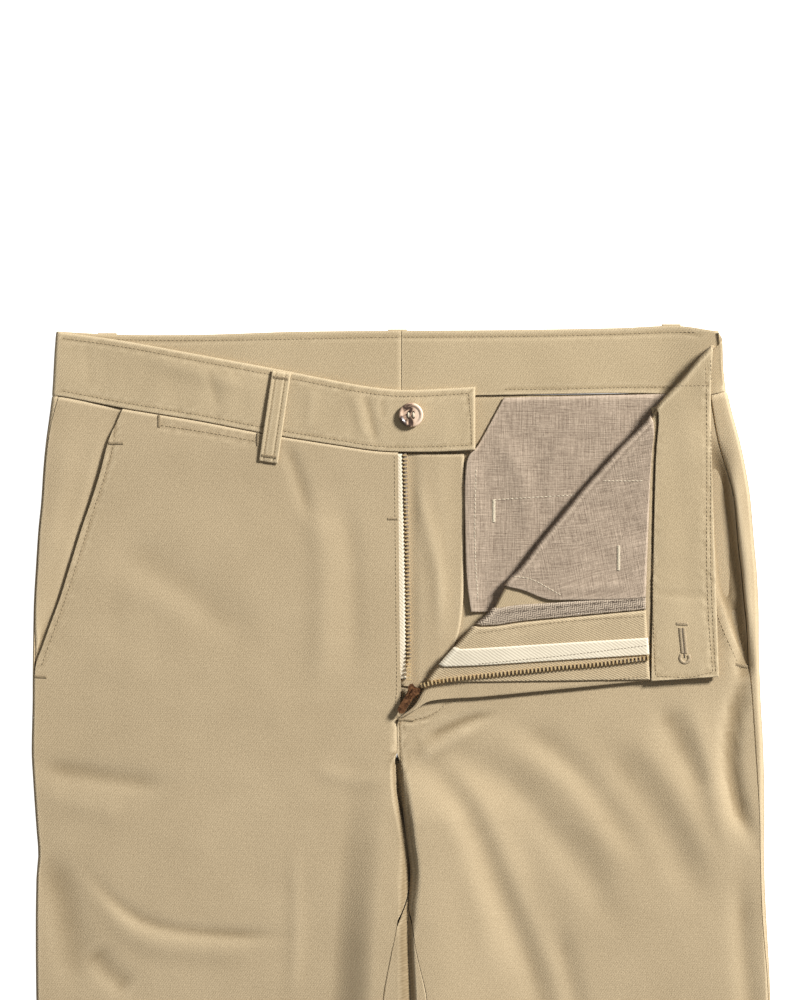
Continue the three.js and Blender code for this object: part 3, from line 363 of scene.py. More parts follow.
# The fold's own axes: along it from the waist, and across it towards the opening
FOLD_LENGTH = math.dist(FOLD_FOOT, FOLD_TOP)
ALONG = ((FOLD_FOOT[0] - FOLD_TOP[0]) / FOLD_LENGTH, (FOLD_FOOT[1] - FOLD_TOP[1]) / FOLD_LENGTH)
ACROSS = (ALONG[1], -ALONG[0])


def along(x, y):
    return (x - FOLD_TOP[0]) * ALONG[0] + (y - FOLD_TOP[1]) * ALONG[1]


def across(x, y):
    return (x - FOLD_TOP[0]) * ACROSS[0] + (y - FOLD_TOP[1]) * ACROSS[1]


def fold_point(run, off):
    return (FOLD_TOP[0] + run * ALONG[0] + off * ACROSS[0], FOLD_TOP[1] + run * ALONG[1] + off * ACROSS[1])


def rolled(x, y, depths):
    """Where places of the unfolded left front go, at depths from its right side"""
    x = np.asarray(x, float)[:, None]
    y = np.asarray(y, float)[:, None]
    depth = np.asarray(depths, float)[None, :]
    over = across(x, y) + ROLL_REACH
    run = along(x, y)
    radius = ROLL_INSIDE + depth
    turn = np.clip(over / ROLL_MIDDLE, 0, math.pi)
    on_roll = radius * np.sin(turn) - ROLL_REACH
    off = np.where(over <= 0, over - ROLL_REACH + 0 * depth,
                   np.where(over < ROLL_LENGTH, on_roll, ROLL_LENGTH - over - ROLL_REACH + 0 * depth))
    px, py = fold_point(run, off)
    z = THICKNESS + ROLL_INSIDE - radius * np.cos(turn)
    full = np.ones_like(off)
    return np.stack([px * full, py * full, z * full, x * full, y * full], -1)


def roll_part(x, y):
    """How far round the roll a place of the flat front comes: 0 at its start, 1 at its end"""
    return (across(x, y) + ROLL_REACH) / ROLL_LENGTH


def unfolded(place):
    return fold_point(along(*place), ROLL_LENGTH - 2 * ROLL_REACH - across(*place))


def roll_parts(start, end, before, turns, after):
    length = across(*end) - across(*start)
    least = 0.0004
    roll_at = clamp((-ROLL_REACH - across(*start)) / length, least * before, 1 - least * 2)
    left = 1 - roll_at
    base = np.linspace(0, roll_at, before + 1)
    index = np.arange(turns + 1)
    rolling = np.minimum(index / turns * ROLL_LENGTH / length, left * index / (turns + after))
    rest = np.linspace(rolling[-1], left, after + 1)
    return np.concatenate([base, roll_at + rolling[1:], roll_at + rest[1:]])


def left_band_seam(part):
    return mix_point((LEFT_BAND_SIDE[0] - EDGE_RADIUS, LEFT_BAND_SEAM_Y), unfolded(FLAP_BAND_SEAM_END), part)


LEFT_BEFORE = 52
LEFT_TURNS = 12
LEFT_AFTER = 40


def left_fold_row(side_y, inner_y, depths):
    outer = front_outer(LEFT, side_y, LEFT.opening(side_y), depths)
    start = tuple(outer[-1, 0, :2])
    end = (float(LEFT.front(inner_y)), inner_y)
    parts = roll_parts(start, end, LEFT_BEFORE, LEFT_TURNS, LEFT_AFTER)[1:]
    return np.concatenate([outer, rolled(mix(start[0], end[0], parts), mix(start[1], end[1], parts), depths)])


def left_leg_row(y, depths):
    outer = front_outer(LEFT, y, LEFT.opening(y), depths)
    inner = front_inner(LEFT, y, depths)
    total = LEFT_BEFORE + LEFT_TURNS + LEFT_AFTER - INNER_COLUMNS
    start, end = outer[-1, 0, 0], inner[0, 0, 0]
    reach = clamp(2 + 0.9 * (280 - y), 3, 60)
    even = clamp((276 - y) / 60, 0, 1)
    turn_x = mix(end + reach, mix(start, end, LEFT_BEFORE / total), even)
    first = np.linspace(start, turn_x, LEFT_BEFORE + 1)[1:]
    second = np.linspace(turn_x, end, total - LEFT_BEFORE + 1)[1:-1]
    x = np.concatenate([first, second])
    return np.concatenate([outer, flat_row(x, np.full(len(x), y), THICKNESS, depths), inner])


def front_left_rows(depths):
    seam_start = left_band_seam(0.155)
    seam_end = left_band_seam(1)
    upper = [left_fold_row(s, i, depths)
             for s, i, _ in knots(seam_start[1] - SEAM_ROOM, seam_end[1] - SEAM_ROOM, FRONT_STEP)]
    legs = [left_leg_row(y, depths) for y in LEG_HEIGHTS]
    between = [mix(upper[-1], legs[0], p) for p in BETWEEN]
    return np.array(upper + between + legs)


def back_row(half, y, bend, depths, flat_columns=44):
    half_turn = math.pi * EDGE_RADIUS
    edge = half.edge(y) - half.out * EDGE_RADIUS
    start = seam_reach(half.seam(y) - SEAM_GAP / 2)
    knee = max(0, start + 0.3)
    rise = bend * (back_waist_seam(edge) - back_waist_seam(0))
    reach = np.concatenate([np.linspace(start, knee, 4), np.linspace(knee, half_turn, 11)[1:]])
    drop = bend * 0.22 * np.maximum(0, -reach)
    outer = rim_row(edge, half.out, reach, y + rise - drop, depths)
    turn = crotch_turn(y)
    full = seam_reach(half.inseam(y) - SEAM_GAP / 2)
    to = half_turn - turn * (half_turn - full)
    shift = mix(math.sin(min((half_turn - to) / EDGE_RADIUS, math.pi / 2)), 1, turn)
    middle = half.back(y) + half.out * EDGE_RADIUS * shift
    bottom = max(half_turn, to + 7 * 0.15)
    turn_up = max(0, to + 0.3)
    reach = np.concatenate([np.linspace(bottom, turn_up, 13), np.linspace(turn_up, to, 11)[1:]])
    inner = rim_row(middle, -half.out, reach, y, depths)
    part = np.linspace(0, 1, flat_columns + 1)[1:-1]
    x = mix(outer[-1, 0, 0], inner[0, 0, 0], part)
    row_y = mix(outer[-1, 0, 1], inner[0, 0, 1], part)
    return np.concatenate([outer, flat_row(x, row_y, 0, depths, 1), inner])


def back_rows(half, depths):
    top = float(back_waist_seam(0)) + 0.05
    count = 44
    upper = [back_row(half, mix(top, FOOT_INNER_Y, i / count), waist_bend(i, count), depths)
             for i in range(count + 1)]
    foot = [back_row(half, y, 0, depths) for y in heights(301, 284, 3)]
    legs = [back_row(half, y, 0, depths) for y in [*heights(276, 250, 2), *heights(246, HEM_Y, 7.5)]]
    return np.array(upper + foot + legs)


def band_rows_right(depths):
    rows = []
    for v in np.linspace(0, 1, 22):
        middle = mix(*RIGHT_BAND_SIDE, v) + EDGE_RADIUS
        x = np.linspace(-0.02, middle, 76)
        behind = flat_row(x, mix(back_waist_seam(x), back_waist_top(x), v), 0, depths, 1)
        side_y = mix(RIGHT_WAIST_SEAM[0][1], RIGHT_WAIST_TOP[0][1], v)
        turn = rim_row(middle, -1, math.pi * EDGE_RADIUS * np.linspace(1, 0, 11)[1:-1], side_y, depths)
        x = np.linspace(middle, BAND_END_X, 126)
        ahead = flat_row(x, mix(right_waist_seam(x), right_waist_top(x), v), THICKNESS, depths)
        rows.append(np.concatenate([behind, turn, ahead]))
    return np.array(rows)


def band_rows_left(depths):
    seam_end = unfolded(FLAP_BAND_SEAM_END)
    top_end = unfolded(FLAP_BAND_TOP_END)
    rows = []
    for v in np.linspace(0, 1, 22):
        middle = mix(*LEFT_BAND_SIDE, v) - EDGE_RADIUS
        x = np.linspace(0.02, middle, 70)
        behind = flat_row(x, mix(back_waist_seam(x), back_waist_top(x), v), 0, depths, 1)
        back_y = mix(back_waist_seam(middle), back_waist_top(middle), v)
        front_y = mix(LEFT_BAND_SEAM_Y, LEFT_BAND_TOP_Y, v)
        share = np.linspace(0, 1, 11)[1:-1]
        turn = rim_row(middle, 1, math.pi * EDGE_RADIUS * (1 - share), mix(back_y, front_y, share), depths)
        start = (middle, front_y)
        end = mix_point(seam_end, top_end, v)
        parts = roll_parts(start, end, 16, 12, 84)
        ahead = rolled(mix(start[0], end[0], parts), mix(start[1], end[1], parts), depths)
        rows.append(np.concatenate([behind, turn, ahead]))
    return np.array(rows)


def left_waist_seam(x):
    start = left_band_seam(0)
    end = left_band_seam(1)
    return mix(start[1], end[1], (x - start[0]) / (end[0] - start[0]))


def sink(half, x, y):
    """How far a pocket facing has dipped at a place: fully where the front panel covers it"""
    from_edge = np.abs(half.edge(y) - x)
    cover = float(half.opening(y)) - 1.5
    by_place = ease(min(float(half.seam(y)) + 1, cover - 4), cover, from_edge)
    near_foot = 1 - ease(322, 345, y)
    return INSIDE_LAYER * np.maximum(by_place, near_foot)


def pocket_facing_rows(half, waist_seam, depths):
    top_x = float(half.edge(494)) - half.out * max(EDGE_RADIUS, float(half.seam(494)))
    rows = []
    for part in np.linspace(0, 1, 70):
        y = mix(float(waist_seam(top_x)) - SEAM_ROOM, 300, part)
        start = seam_reach(float(half.seam(y)) + SEAM_GAP)
        reach = np.linspace(start, min(0, start - 0.45), 6)
        middle = half.edge(y) - half.out * EDGE_RADIUS
        place = rim_row(middle, half.out, reach, y, (0,))[:, 0, 0]
        outer = np.concatenate([rim_row(middle, half.out, [r], y, [d + s for d in depths])
                                for r, s in zip(reach, sink(half, place, y))])
        first = outer[-1, 0, 0]
        x = np.linspace(first, half.edge(y) - half.out * (half.opening(y) + 12), 26)[1:]
        fade = max(0, 1 - part * 1.5)
        row_y = y + fade * (waist_seam(x) - waist_seam(first))
        rows.append(np.concatenate([outer, flat_row(x, row_y, THICKNESS - sink(half, x, y), depths)]))
    return np.array(rows)


def side_through(points):
    rows = [(i / (len(points) - 1), *point) for i, point in enumerate(points)]
    x, y = through(rows, 1), through(rows, 2)
    return lambda part: (float(x(part)), float(y(part)))


def laid_rows(left, right, row_count, columns, level, depths):
    rows = []
    for v in np.linspace(0, 1, row_count + 1):
        u = np.linspace(0, 1, columns + 1)
        a, b = left(v), right(v)
        rows.append(flat_row(mix(a[0], b[0], u), mix(a[1], b[1], u), level, depths, 1))
    return np.array(rows)


def corner_rows(fold_first, fold_last, far_first, far_last, wrap, bow, count, columns, depths):
    """A piece on the folded corner, with rows from the fold to its far side as it lies"""
    wrap_from = ROLL_LENGTH * wrap - ROLL_REACH
    rows = []
    for v in np.linspace(0, 1, count + 1):
        fold = mix_point(fold_first, fold_last, v)
        start = fold_point(along(*fold), wrap_from)
        end = unfolded(mix_point(far_first, far_last, v))
        length = across(*end) - across(*start)
        flat_from = clamp(ROLL_LENGTH * (1 - wrap) / length, 0, 1)
        parts = np.concatenate([np.linspace(0, flat_from, 9), np.linspace(flat_from, 1, columns + 1)[1:]])
        row = rolled(mix(start[0], end[0], parts), mix(start[1], end[1], parts), depths)
        row[..., 1] += v**3 * np.array([bow(p) for p in parts])[:, None]
        rows.append(row)
    return np.array(rows)


def strip_rows(path, width, columns, thickness):
    """A straight-sided strip along a path of places"""
    path = np.asarray(path, float)
    before = path[np.maximum(np.arange(len(path)) - 1, 0)]
    after = path[np.minimum(np.arange(len(path)) + 1, len(path) - 1)]
    way = after[:, :2] - before[:, :2]
    way /= np.linalg.norm(way, axis=1)[:, None]
    run = np.concatenate([[0], np.cumsum(np.linalg.norm(np.diff(path[:, :2], axis=0), axis=1))])
    rows = []
    for (x, y, z), (wx, wy), r in zip(path, way, run):
        off = np.linspace(-0.5, 0.5, columns + 1) * width
        row = flat_row(x + off * wy, y - off * wx, z, (0, thickness), 1)
        row[..., 3] = off[:, None]
        row[..., 4] = r
        rows.append(row)
    return np.array(rows)


def path_points(points, step):
    """Even places along a smooth line through points"""
    rows = [(0, *points[0])]
    for a, b in zip(points, points[1:]):
        rows.append((rows[-1][0] + math.dist(a, b), *b))
    length = rows[-1][0]
    curves = [through(rows, c) for c in range(1, len(points[0]) + 1)]
    count = max(2, round(length / step))
    at = np.linspace(0, length, count + 1)
    return np.stack([curve(at) for curve in curves], -1)


# Relief: how far the cloth stands out from its plain form
def from_line(x, y, points):
    """Distance from a line through points, and the part of its length at the nearest place"""
    best = np.full(x.shape, 1e9)
    run = np.zeros(x.shape)
    lengths = [math.dist(a, b) for a, b in zip(points, points[1:])]
    total = sum(lengths)
    done = 0
    for (ax, ay), (bx, by), length in zip(points, points[1:], lengths):
        ux, uy = (bx - ax) / length, (by - ay) / length
        t = np.clip((x - ax) * ux + (y - ay) * uy, 0, length)
        far = np.hypot(x - ax - t * ux, y - ay - t * uy)
        near = far < best
        best = np.where(near, far, best)
        run = np.where(near, (done + t) / total, run)
        done += length
    return best, run


def near_line(x, y, smooth, reach):
    """Which places lie in the box round a line, and up to reach outside it"""
    xs, ys = [p[0] for p in smooth], [p[1] for p in smooth]
    return (x > min(xs) - reach) & (x < max(xs) + reach) & (y > min(ys) - reach) & (y < max(ys) + reach)


def creases(x, y, table):
    height = np.zeros(x.shape)
    for points, width, most in table:
        smooth = [tuple(p) for p in path_points(points, 12)]
        near = near_line(x, y, smooth, 3 * width)
        if not near.any():
            continue
        far, run = from_line(x[near], y[near], smooth)
        fade = ease(0, 0.25, run) * (1 - ease(0.75, 1, run)) * 0.85 + 0.15
        height[near] += most * fade * np.exp(-((far / width) ** 2))
    return height


def slopes(x, y, table):
    """A rise over a width, on the side of a line where x is larger, faded towards the line's ends"""
    height = np.zeros(x.shape)
    for points, width, most in table:
        line_y = np.array([p[1] for p in points][::-1])
        line_x = np.array([p[0] for p in points][::-1])
        off = x - np.interp(y, line_y, line_x)
        foot, top = line_y[0], line_y[-1]
        fade = ease(foot, foot + 0.4 * (top - foot), y) * (1 - ease(top - 0.45 * (top - foot), top, y))
        height += most * fade * ease(-width, width, off)
    return height


def uneven(x, y, size, seed=0.0):
    """Smooth noise from -1 to 1"""
    return np.array([noise.noise(Vector((a / size, b / size, seed))) for a, b in
                     zip(x.ravel(), y.ravel())]).reshape(x.shape)


def beside(x, y, lines, width=1.1, depth=0.34, pucker=0.24, seed=0.0):
    """The groove that stitches pull in the cloth, with the puckers beside it"""
    height = np.zeros(x.shape)
    for points in lines:
        smooth = [tuple(p) for p in path_points(points, 8)]
        near = near_line(x, y, smooth, 9)
        if not near.any():
            continue
        far, _ = from_line(x[near], y[near], smooth)
        height[near] -= depth * np.exp(-((far / width) ** 2))
        waves = uneven(x[near], y[near], 4.2, seed + 3)
        height[near] += pucker * waves * np.exp(-((far / 5) ** 2))
    return height


# Making a piece of cloth: two faces, the rim between them, and the flat cloth's coordinates
surfaces = {}


def near_edges(rows, inset=0.7):
    """Adds a row and a column just inside each edge, so that the edge can be rounded"""
    for axis in (0, 1):
        rows = np.moveaxis(rows, axis, 0)
        added = []
        for a, b in ((rows[0], rows[1]), (rows[-1], rows[-2])):
            far = np.linalg.norm(b[..., 0, :3] - a[..., 0, :3], axis=-1)
            part = np.minimum(0.45, inset / np.maximum(far, 1e-6))[..., None, None]
            added.append(mix(a, b, part)[None])
        rows = np.concatenate([rows[:1], added[0], rows[1:-1], added[1], rows[-1:]])
        rows = np.moveaxis(rows, 0, axis)
    return rows


def add_object(name, data):
    obj = bpy.data.objects.new(name, data)
    bpy.context.scene.collection.objects.link(obj)
    return obj


def mesh_object(name, vertices, faces, smooth=True):
    mesh = bpy.data.meshes.new(name)
    mesh.from_pydata([tuple(v) for v in np.asarray(vertices) * MM], [], faces)
    mesh.update()
    if smooth:
        mesh.polygons.foreach_set("use_smooth", [True] * len(mesh.polygons))
    return add_object(name, mesh)


def ring_faces(first, sides, count):
    """Faces of a tube made of rings of vertices, with its two ends"""
    faces = []
    for i in range(count - 1):
        a, b = first + i * sides, first + (i + 1) * sides
        faces += [(a + j, a + (j + 1) % sides, b + (j + 1) % sides, b + j) for j in range(sides)]
    last = first + (count - 1) * sides
    return [*faces, tuple(reversed(range(first, first + sides))), tuple(range(last, last + sides))]


def wall_faces(row_count, column_count):
    """Faces of a closed wall whose first half of the vertices is its face and second half its back"""
    index = np.arange(row_count * column_count).reshape(row_count, column_count)
    other = index + row_count * column_count
    a, b, c, d = index[:-1, :-1], index[:-1, 1:], index[1:, 1:], index[1:, :-1]
    front = np.stack([a, b, c, d], -1).reshape(-1, 4)
    a, b, c, d = other[:-1, :-1], other[1:, :-1], other[1:, 1:], other[:-1, 1:]
    back = np.stack([a, b, c, d], -1).reshape(-1, 4)
    ring = np.concatenate([index[0], index[1:, -1], index[-1, -2::-1], index[-2:0:-1, 0]])
    far = ring + row_count * column_count
    rim = np.stack([ring, far, np.roll(far, -1), np.roll(ring, -1)], -1)
    return np.concatenate([front, back, rim])


def bend_of(face, normal):
    """How sharply a sheet bends at each place: above 0 in a hollow, below 0 on a ridge"""
    bend = np.zeros(face.shape[:2])
    for axis in (0, 1):
        f = np.moveaxis(face, axis, 0)
        n = np.moveaxis(normal, axis, 0)
        ahead, behind = f[2:] - f[1:-1], f[1:-1] - f[:-2]
        ahead_length = np.maximum(np.linalg.norm(ahead, axis=-1), 0.05)[..., None]
        behind_length = np.maximum(np.linalg.norm(behind, axis=-1), 0.05)[..., None]
        turn = 2 * (ahead / ahead_length - behind / behind_length) / (ahead_length + behind_length)
        np.moveaxis(bend, axis, 0)[1:-1] += (turn * n[1:-1]).sum(-1)
    return bend


# How much painted shade each kind of place gets in the cloth's colour, from neutral at a half; ridges are
# painted paler as wear and highlight
NEUTRAL_SHADE = 0.5
BEND_SHADE = 2.2
DEPTH_SHADE = 0.22
STEEP_SHADE = 2.2
GAP_SHADE = 0.9
GAP_WIDTH = 3.4


def add_shading(obj, face, normal, stands):
    """Paints shade into the colour: hollows, troughs, steep places and the gap between the legs go darker as
    painted shade, and ridges go paler as wear and painted highlight
    """
    deep = np.clip(-np.asarray(stands) - 0.6, 0, 2.4) * DEPTH_SHADE
    steep = STEEP_SHADE * (1 - np.clip(np.abs(normal[..., 2]), 0, 1))
    x, y = face[..., 0], face[..., 1]
    between = GAP_SHADE * np.exp(-(((x - inner_middle(y)) / GAP_WIDTH) ** 2)) * (y < CROTCH_TOP_Y)
    # Painted shade: darker in hollows, troughs, on steep sides and between the legs; paler on ridges as wear
    # and painted highlight
    wear_and_painted_shade = NEUTRAL_SHADE - BEND_SHADE * bend_of(face, normal) - deep - steep - between
    values = np.concatenate([np.clip(wear_and_painted_shade, 0, 1).reshape(-1), np.full(wear_and_painted_shade.size, NEUTRAL_SHADE)])
    attribute = obj.data.attributes.new("wear_and_painted_shade", "FLOAT", "POINT")
    attribute.data.foreach_set("value", values.astype(np.float32))


def add_cut_places(obj, u, v):
    """Gives each corner its place on the flat cloth, in metres"""
    layer = obj.data.uv_layers.new(name="cut")
    loops = np.zeros(len(obj.data.loops), int)
    obj.data.loops.foreach_get("vertex_index", loops)
    flat = np.stack([u.reshape(-1), v.reshape(-1)], -1)[loops % u.size] * MM
    layer.data.foreach_set("uv", flat.astype(np.float32).reshape(-1))


def flat_cut(u, v):
    """Width, length and area of the flat cloth, in metres"""
    area = 0.0
    for i, j in ((slice(None, -1), slice(None, -1)), (slice(1, None), slice(1, None))):
        ux, uy = np.diff(u, axis=1)[i, :], np.diff(v, axis=1)[i, :]
        vx, vy = np.diff(u, axis=0)[:, j], np.diff(v, axis=0)[:, j]
        area += float(np.abs(ux * vy - uy * vx).sum()) / 2
    return float(np.ptp(u)) * MM, float(np.ptp(v)) * MM, area * MM * MM


def cloth(name, rows, relief, rounded=TOP_SHARE, shift=None):
    """rows hold a place for the face and one for the back of each point of the sheet"""
    rows = near_edges(np.asarray(rows, float))
    face, back = rows[..., 0, :3].copy(), rows[..., 1, :3].copy()
    u, v = rows[..., 0, 3], rows[..., 0, 4]
    flat_z = face[..., 2].copy()
    if rounded:
        inward = (back - face) * rounded
        edge = np.zeros(face.shape[:2], bool)
        edge[0], edge[-1], edge[:, 0], edge[:, -1] = True, True, True, True
        face[edge] += inward[edge]
        back[edge] -= inward[edge]
    normal = rows[..., 0, :3] - rows[..., 1, :3]
    normal /= np.maximum(np.linalg.norm(normal, axis=-1), 1e-9)[..., None]
    out, up = relief(face[..., 0], face[..., 1], flat_z, u, v)
    move = normal * np.asarray(out)[..., None]
    move[..., 2] += up
    for side in (face, back):
        side[..., 2] += lift(side[..., 1])
        side += move
        if shift:
            side[..., :2] += shift(side[..., 0], side[..., 1])
        side[..., 2] = np.maximum(side[..., 2], 0)
    vertices = np.concatenate([face.reshape(-1, 3), back.reshape(-1, 3)])
    faces = wall_faces(*face.shape[:2])
    corner = vertices[faces[:, :3]]
    spread = np.cross(corner[:, 1] - corner[:, 0], corner[:, 2] - corner[:, 0])
    if (corner[:, 0] * spread).sum() < 0:
        faces = faces[:, ::-1]
    obj = mesh_object(name, vertices, faces.tolist())
    add_shading(obj, face, normal, out + up)
    add_cut_places(obj, u, v)
    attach(obj, "garment")
    surfaces[name] = BVHTree.FromPolygons([tuple(p) for p in vertices], faces.tolist())
    flat_cut(u, v)
    return obj


# Relief of each zone. It gives how far a place moves out along the cloth's normal, and how far up
def soft(x, y, seed=0.0):
    return (0.55 * uneven(x, y, 95, seed) + 0.3 * uneven(x, y, 38, seed + 7)
            + 0.1 * uneven(x, y, 15, seed + 13))


TICKET_LINE = [(-156.7, 474.7), (-125, 469.8), (-94.9, 464.3)]
RIGHT_SLANT = [(-185.2, 485), (-186.8, 464.3), (-191.6, 445.4), (-201, 416.2), (-210.8, 385), (-217.5, 364.2),
               (-224, 346), (-230.5, 328.4), (-234, 318)]
LEFT_SLANT = [(190, 440), (193, 400), (198.2, 372), (202.8, 360.3), (209.3, 342.7), (215.8, 327.8),
              (221.7, 315.4)]
LEFT_SIDE_STITCH = [(204.4, 489), (206.7, 477.9), (211.9, 458.4), (217.8, 435.7), (221.9, 412.9),
                    (226.8, 360.9), (230.1, 315.4), (233.3, 269.9)]
FLY_J = [(30.6, 294.6), (22.8, 287.5), (12.3, 283.6), (5.9, 282.3), (-2, 282.9)]
CENTRE_SEAM = [(-2.7, 283), (-2.7, 268), (-3.6, 252)]
CENTRE_STITCH = [(-0.6, 281), (-0.4, 266), (0.6, 247)]
FLY_EDGE_STITCH = [(-4.2, 455), (-3.6, 400), (-3, 340), (-2.8, 302), (-4.4, 288)]
FRONT_STITCHES = [TICKET_LINE, RIGHT_SLANT, LEFT_SLANT, LEFT_SIDE_STITCH, FLY_J]
HEM_STITCH_RIGHT = [(-200, -516), (-104, -516), (-9, -516)]
HEM_STITCH_LEFT = [(16, -516), (112, -516), (205, -516)]


INNER_SWELL = 8.2
DEEPEST = -3.2
HIGHEST = 9.5


def inner_middle(y):
    return (RIGHT.front(y) + LEFT.front(y)) / 2


def inner_swell(x, y):
    """The left leg stands fuller beside the gap between the legs"""
    off = x - LEFT.front(y)
    rise = ease(-1.5, 5.5, off) * (1 - 0.9 * ease(9, 84, off))
    return INNER_SWELL * rise * (1 - ease(215, 262, y)) * ease(-120, 60, y)


def front_relief(x, y, z, u, v):
    """Both fronts, the tops of the backs' turned edges and the pocket facings share it"""
    on_top = ease(1.2, 4.4, z)
    stillness = 1 - 0.6 * ease(430, 480, y)
    height = soft(x, y) * stillness + creases(x, y, FRONT_CREASES)
    height = height + np.where(x < inner_middle(y), slopes(x, y, FRONT_SLOPES), inner_swell(x, y))
    fly = ease(-40, -14, x) * (1 - ease(52, 80, x)) * ease(283, 292, y)
    height = mix(height, np.maximum(height, -0.1) * 0.25, fly)
    return np.clip(height, DEEPEST, HIGHEST) * on_top, 0


def seam_close(x, y, way):
    """The fronts touch along the seam below the fly"""
    return way * 0.4 * ease(248, 256, y) * (1 - ease(278, 286, y)) * np.exp(-(((x + 3) / 5) ** 2))


def right_shift(x, y):
    return np.stack([seam_close(x, y, 1), 0 * y], -1)


def opening_lift(half, x, y):
    """The front panel's pocket edge stands off the facing"""
    line = half.edge(y) - half.out * half.opening(y)
    inside = (line - x) * half.out
    return ease(312, 345, y) * (1 - ease(474, 486, y)) * (1 - ease(1, 11, inside))


def front_cloth_relief(x, y, z, u, v):
    out, up = front_relief(x, y, z, u, v)
    on_top = ease(3, 4.4, z)
    out = out + on_top * 0.15 * opening_lift(RIGHT, x, y) * (x < 0)
    out = out + on_top * beside(x, y, [*FRONT_STITCHES, HEM_STITCH_RIGHT, HEM_STITCH_LEFT])
    out = out + on_top * beside(x, y, [CENTRE_SEAM], 0.9, 0.7)
    return out, up


FOLD_EDGE = [
    (203.5, 527.3), (194.3, 518.2), (187.8, 510.4), (181.3, 502.6), (174.8, 496.1), (166.4, 487),
    (160.6, 477.9), (142.3, 459.7), (129.3, 445.4), (116.4, 431.1), (103.4, 414.9), (90.4, 399.3),
    (77.4, 381.7), (68.9, 373.9), (65, 367.4), (57.9, 353.1), (46.1, 343.4), (38.4, 334.9), (25.4, 320.6),
    (17.6, 310.2), (12.3, 301.1), (7.2, 292), (-2.6, 284.9),
]
fold_wobble = through([(along(*p), across(*p)) for p in FOLD_EDGE], 1)


def fold_shift(x, y):
    """The folded edge isn't straight: the corner and what it turns from move with it"""
    off = across(x, y)
    amount = fold_wobble(along(x, y)) * np.exp(-((off / 16) ** 2)) * 0.8
    return np.stack([amount * ACROSS[0] + seam_close(x, y, -1), amount * ACROSS[1]], -1)


CORNER_CREASES = [
    ([(95.5, 367.4), (120, 370), (158.6, 372)], 3, 0.5),
    ([(118, 420), (136, 400), (158, 392)], 8, 0.5),
    ([(30, 318), (70, 336), (110, 341)], 7, 0.4),
    ([(166, 366), (186, 365), (204, 364)], 3, -0.35),
    ([(150, 455), (158, 430), (159, 400)], 6, 0.35),
]


# How high the fold stands open along its length, and how much higher at the waist
FOLD_STAND = 1.4
WAIST_STAND = 4.8


def corner_relief(x, y, z, u, v):
    """The folded corner and what lies on it, with the base under it as the fronts are"""
    part = roll_part(u, v)
    base = 1 - ease(0, 0.4, part)
    raised = ease(2.75, 3.05, z)
    turned = ease(0.7, 1.6, part) * raised
    out, _ = front_relief(x, y, z, u, v)
    up = 0.35 * uneven(x, y, 44, 21) + 0.16 * uneven(x, y, 17, 25) + creases(x, y, CORNER_CREASES)
    stand = FOLD_STAND + WAIST_STAND * np.exp(-((along(x, y) / 70) ** 2))
    stand *= 1 - ease(0.72, 0.9, along(x, y) / FOLD_LENGTH)
    loop = raised * stand * ease(0.1, 0.6, part) * (1 - ease(16, 52, part * ROLL_LENGTH))
    return out * base, np.maximum(up, -0.35) * turned + loop


LEFT_FACING_CREASES = [
    ([(203, 462), (206, 440), (212, 412), (219, 380), (223, 350), (226, 326)], 4.5, -1.7),
    ([(205, 425), (207, 400), (211, 372), (215, 345)], 3.5, -1.2),
]
RIGHT_FACING_CREASES = [
    ([(-186, 480), (-192, 460), (-202, 424), (-216, 378), (-226, 345), (-236, 318)], 4, -0.9),
    ([(-215, 470), (-222, 430), (-229, 380)], 8, 0.4),
]


def pocket_facing_relief(x, y, z, u, v):
    """The pocket facings dip behind the front's edge"""
    out, up = front_relief(x, y, z, u, v)
    on_top = ease(3, 4.4, z)
    dip = creases(x, y, LEFT_FACING_CREASES) + creases(x, y, RIGHT_FACING_CREASES)
    return out + dip * on_top, up


def left_relief(x, y, z, u, v):
    out, up = corner_relief(x, y, z, u, v)
    part = roll_part(u, v)
    base = (1 - ease(0, 0.4, part)) * ease(3, 4.4, z)
    out = out + base * 1.5 * opening_lift(LEFT, x, y) * (y < 392)
    out = out + base * beside(x, y, [*FRONT_STITCHES, HEM_STITCH_RIGHT, HEM_STITCH_LEFT, CENTRE_STITCH])
    out = out + base * beside(x, y, [CENTRE_SEAM], 0.9, 0.7)
    return out, up


BAND_TOP_STITCH = [(-220.3, 531.2), (-182.7, 526), (-130.7, 516.3), (-78.7, 506.5), (-26.7, 496.4),
                   (-0.7, 493.5), (25.4, 494.2), (44.2, 495.5)]
BAND_LOW_STITCH = [(-220.3, 497), (-181.3, 489.6), (-130.7, 481.2), (-90.4, 473.4), (-39.6, 464.9),
                   (-13.7, 461), (18.9, 460.7), (44.2, 461.7)]
BAND_END_STITCH = [(44.2, 495.5), (45.5, 477.9), (46.1, 461.7)]
BAND_CREASES = [
    ([(-22.8, 496), (-19, 478), (-15, 461.7)], 2.6, -0.55),
    ([(-30, 498), (-26, 478), (-22, 464)], 3.2, 0.4),
    ([(-170, 520), (-120, 506), (-96, 498)], 6, 0.6),
    ([(-11.7, 492), (-11.1, 479)], 2, -0.35),
    ([(-126, 514), (-118, 484)], 3, -0.3),
    ([(-56, 500), (-60, 470)], 4, 0.35),
    ([(-205, 530), (-201, 496)], 4, -0.25),
]


def band_relief(x, y, z, u, v):
    on_top = ease(1.2, 4.4, z)
    stitches = beside(x, y, [BAND_TOP_STITCH, BAND_LOW_STITCH, BAND_END_STITCH], depth=0.2, pucker=0.2)
    rolls = 0.3 * uneven(x, y * 0.5, 14, 4) + 0.55 * uneven(x, y * 0.6, 48, 9)
    return (stitches + rolls + creases(x, y, BAND_CREASES)) * on_top, 0


FACING_TOP_STITCH = [(-211.9, 531), (-130.7, 530), (-13.7, 532), (103.4, 533), (168.3, 535), (192, 535.4)]
FACING_LOW_STITCH = [(67.6, 498), (103.4, 498.4), (155.3, 499.6), (200, 500.2)]


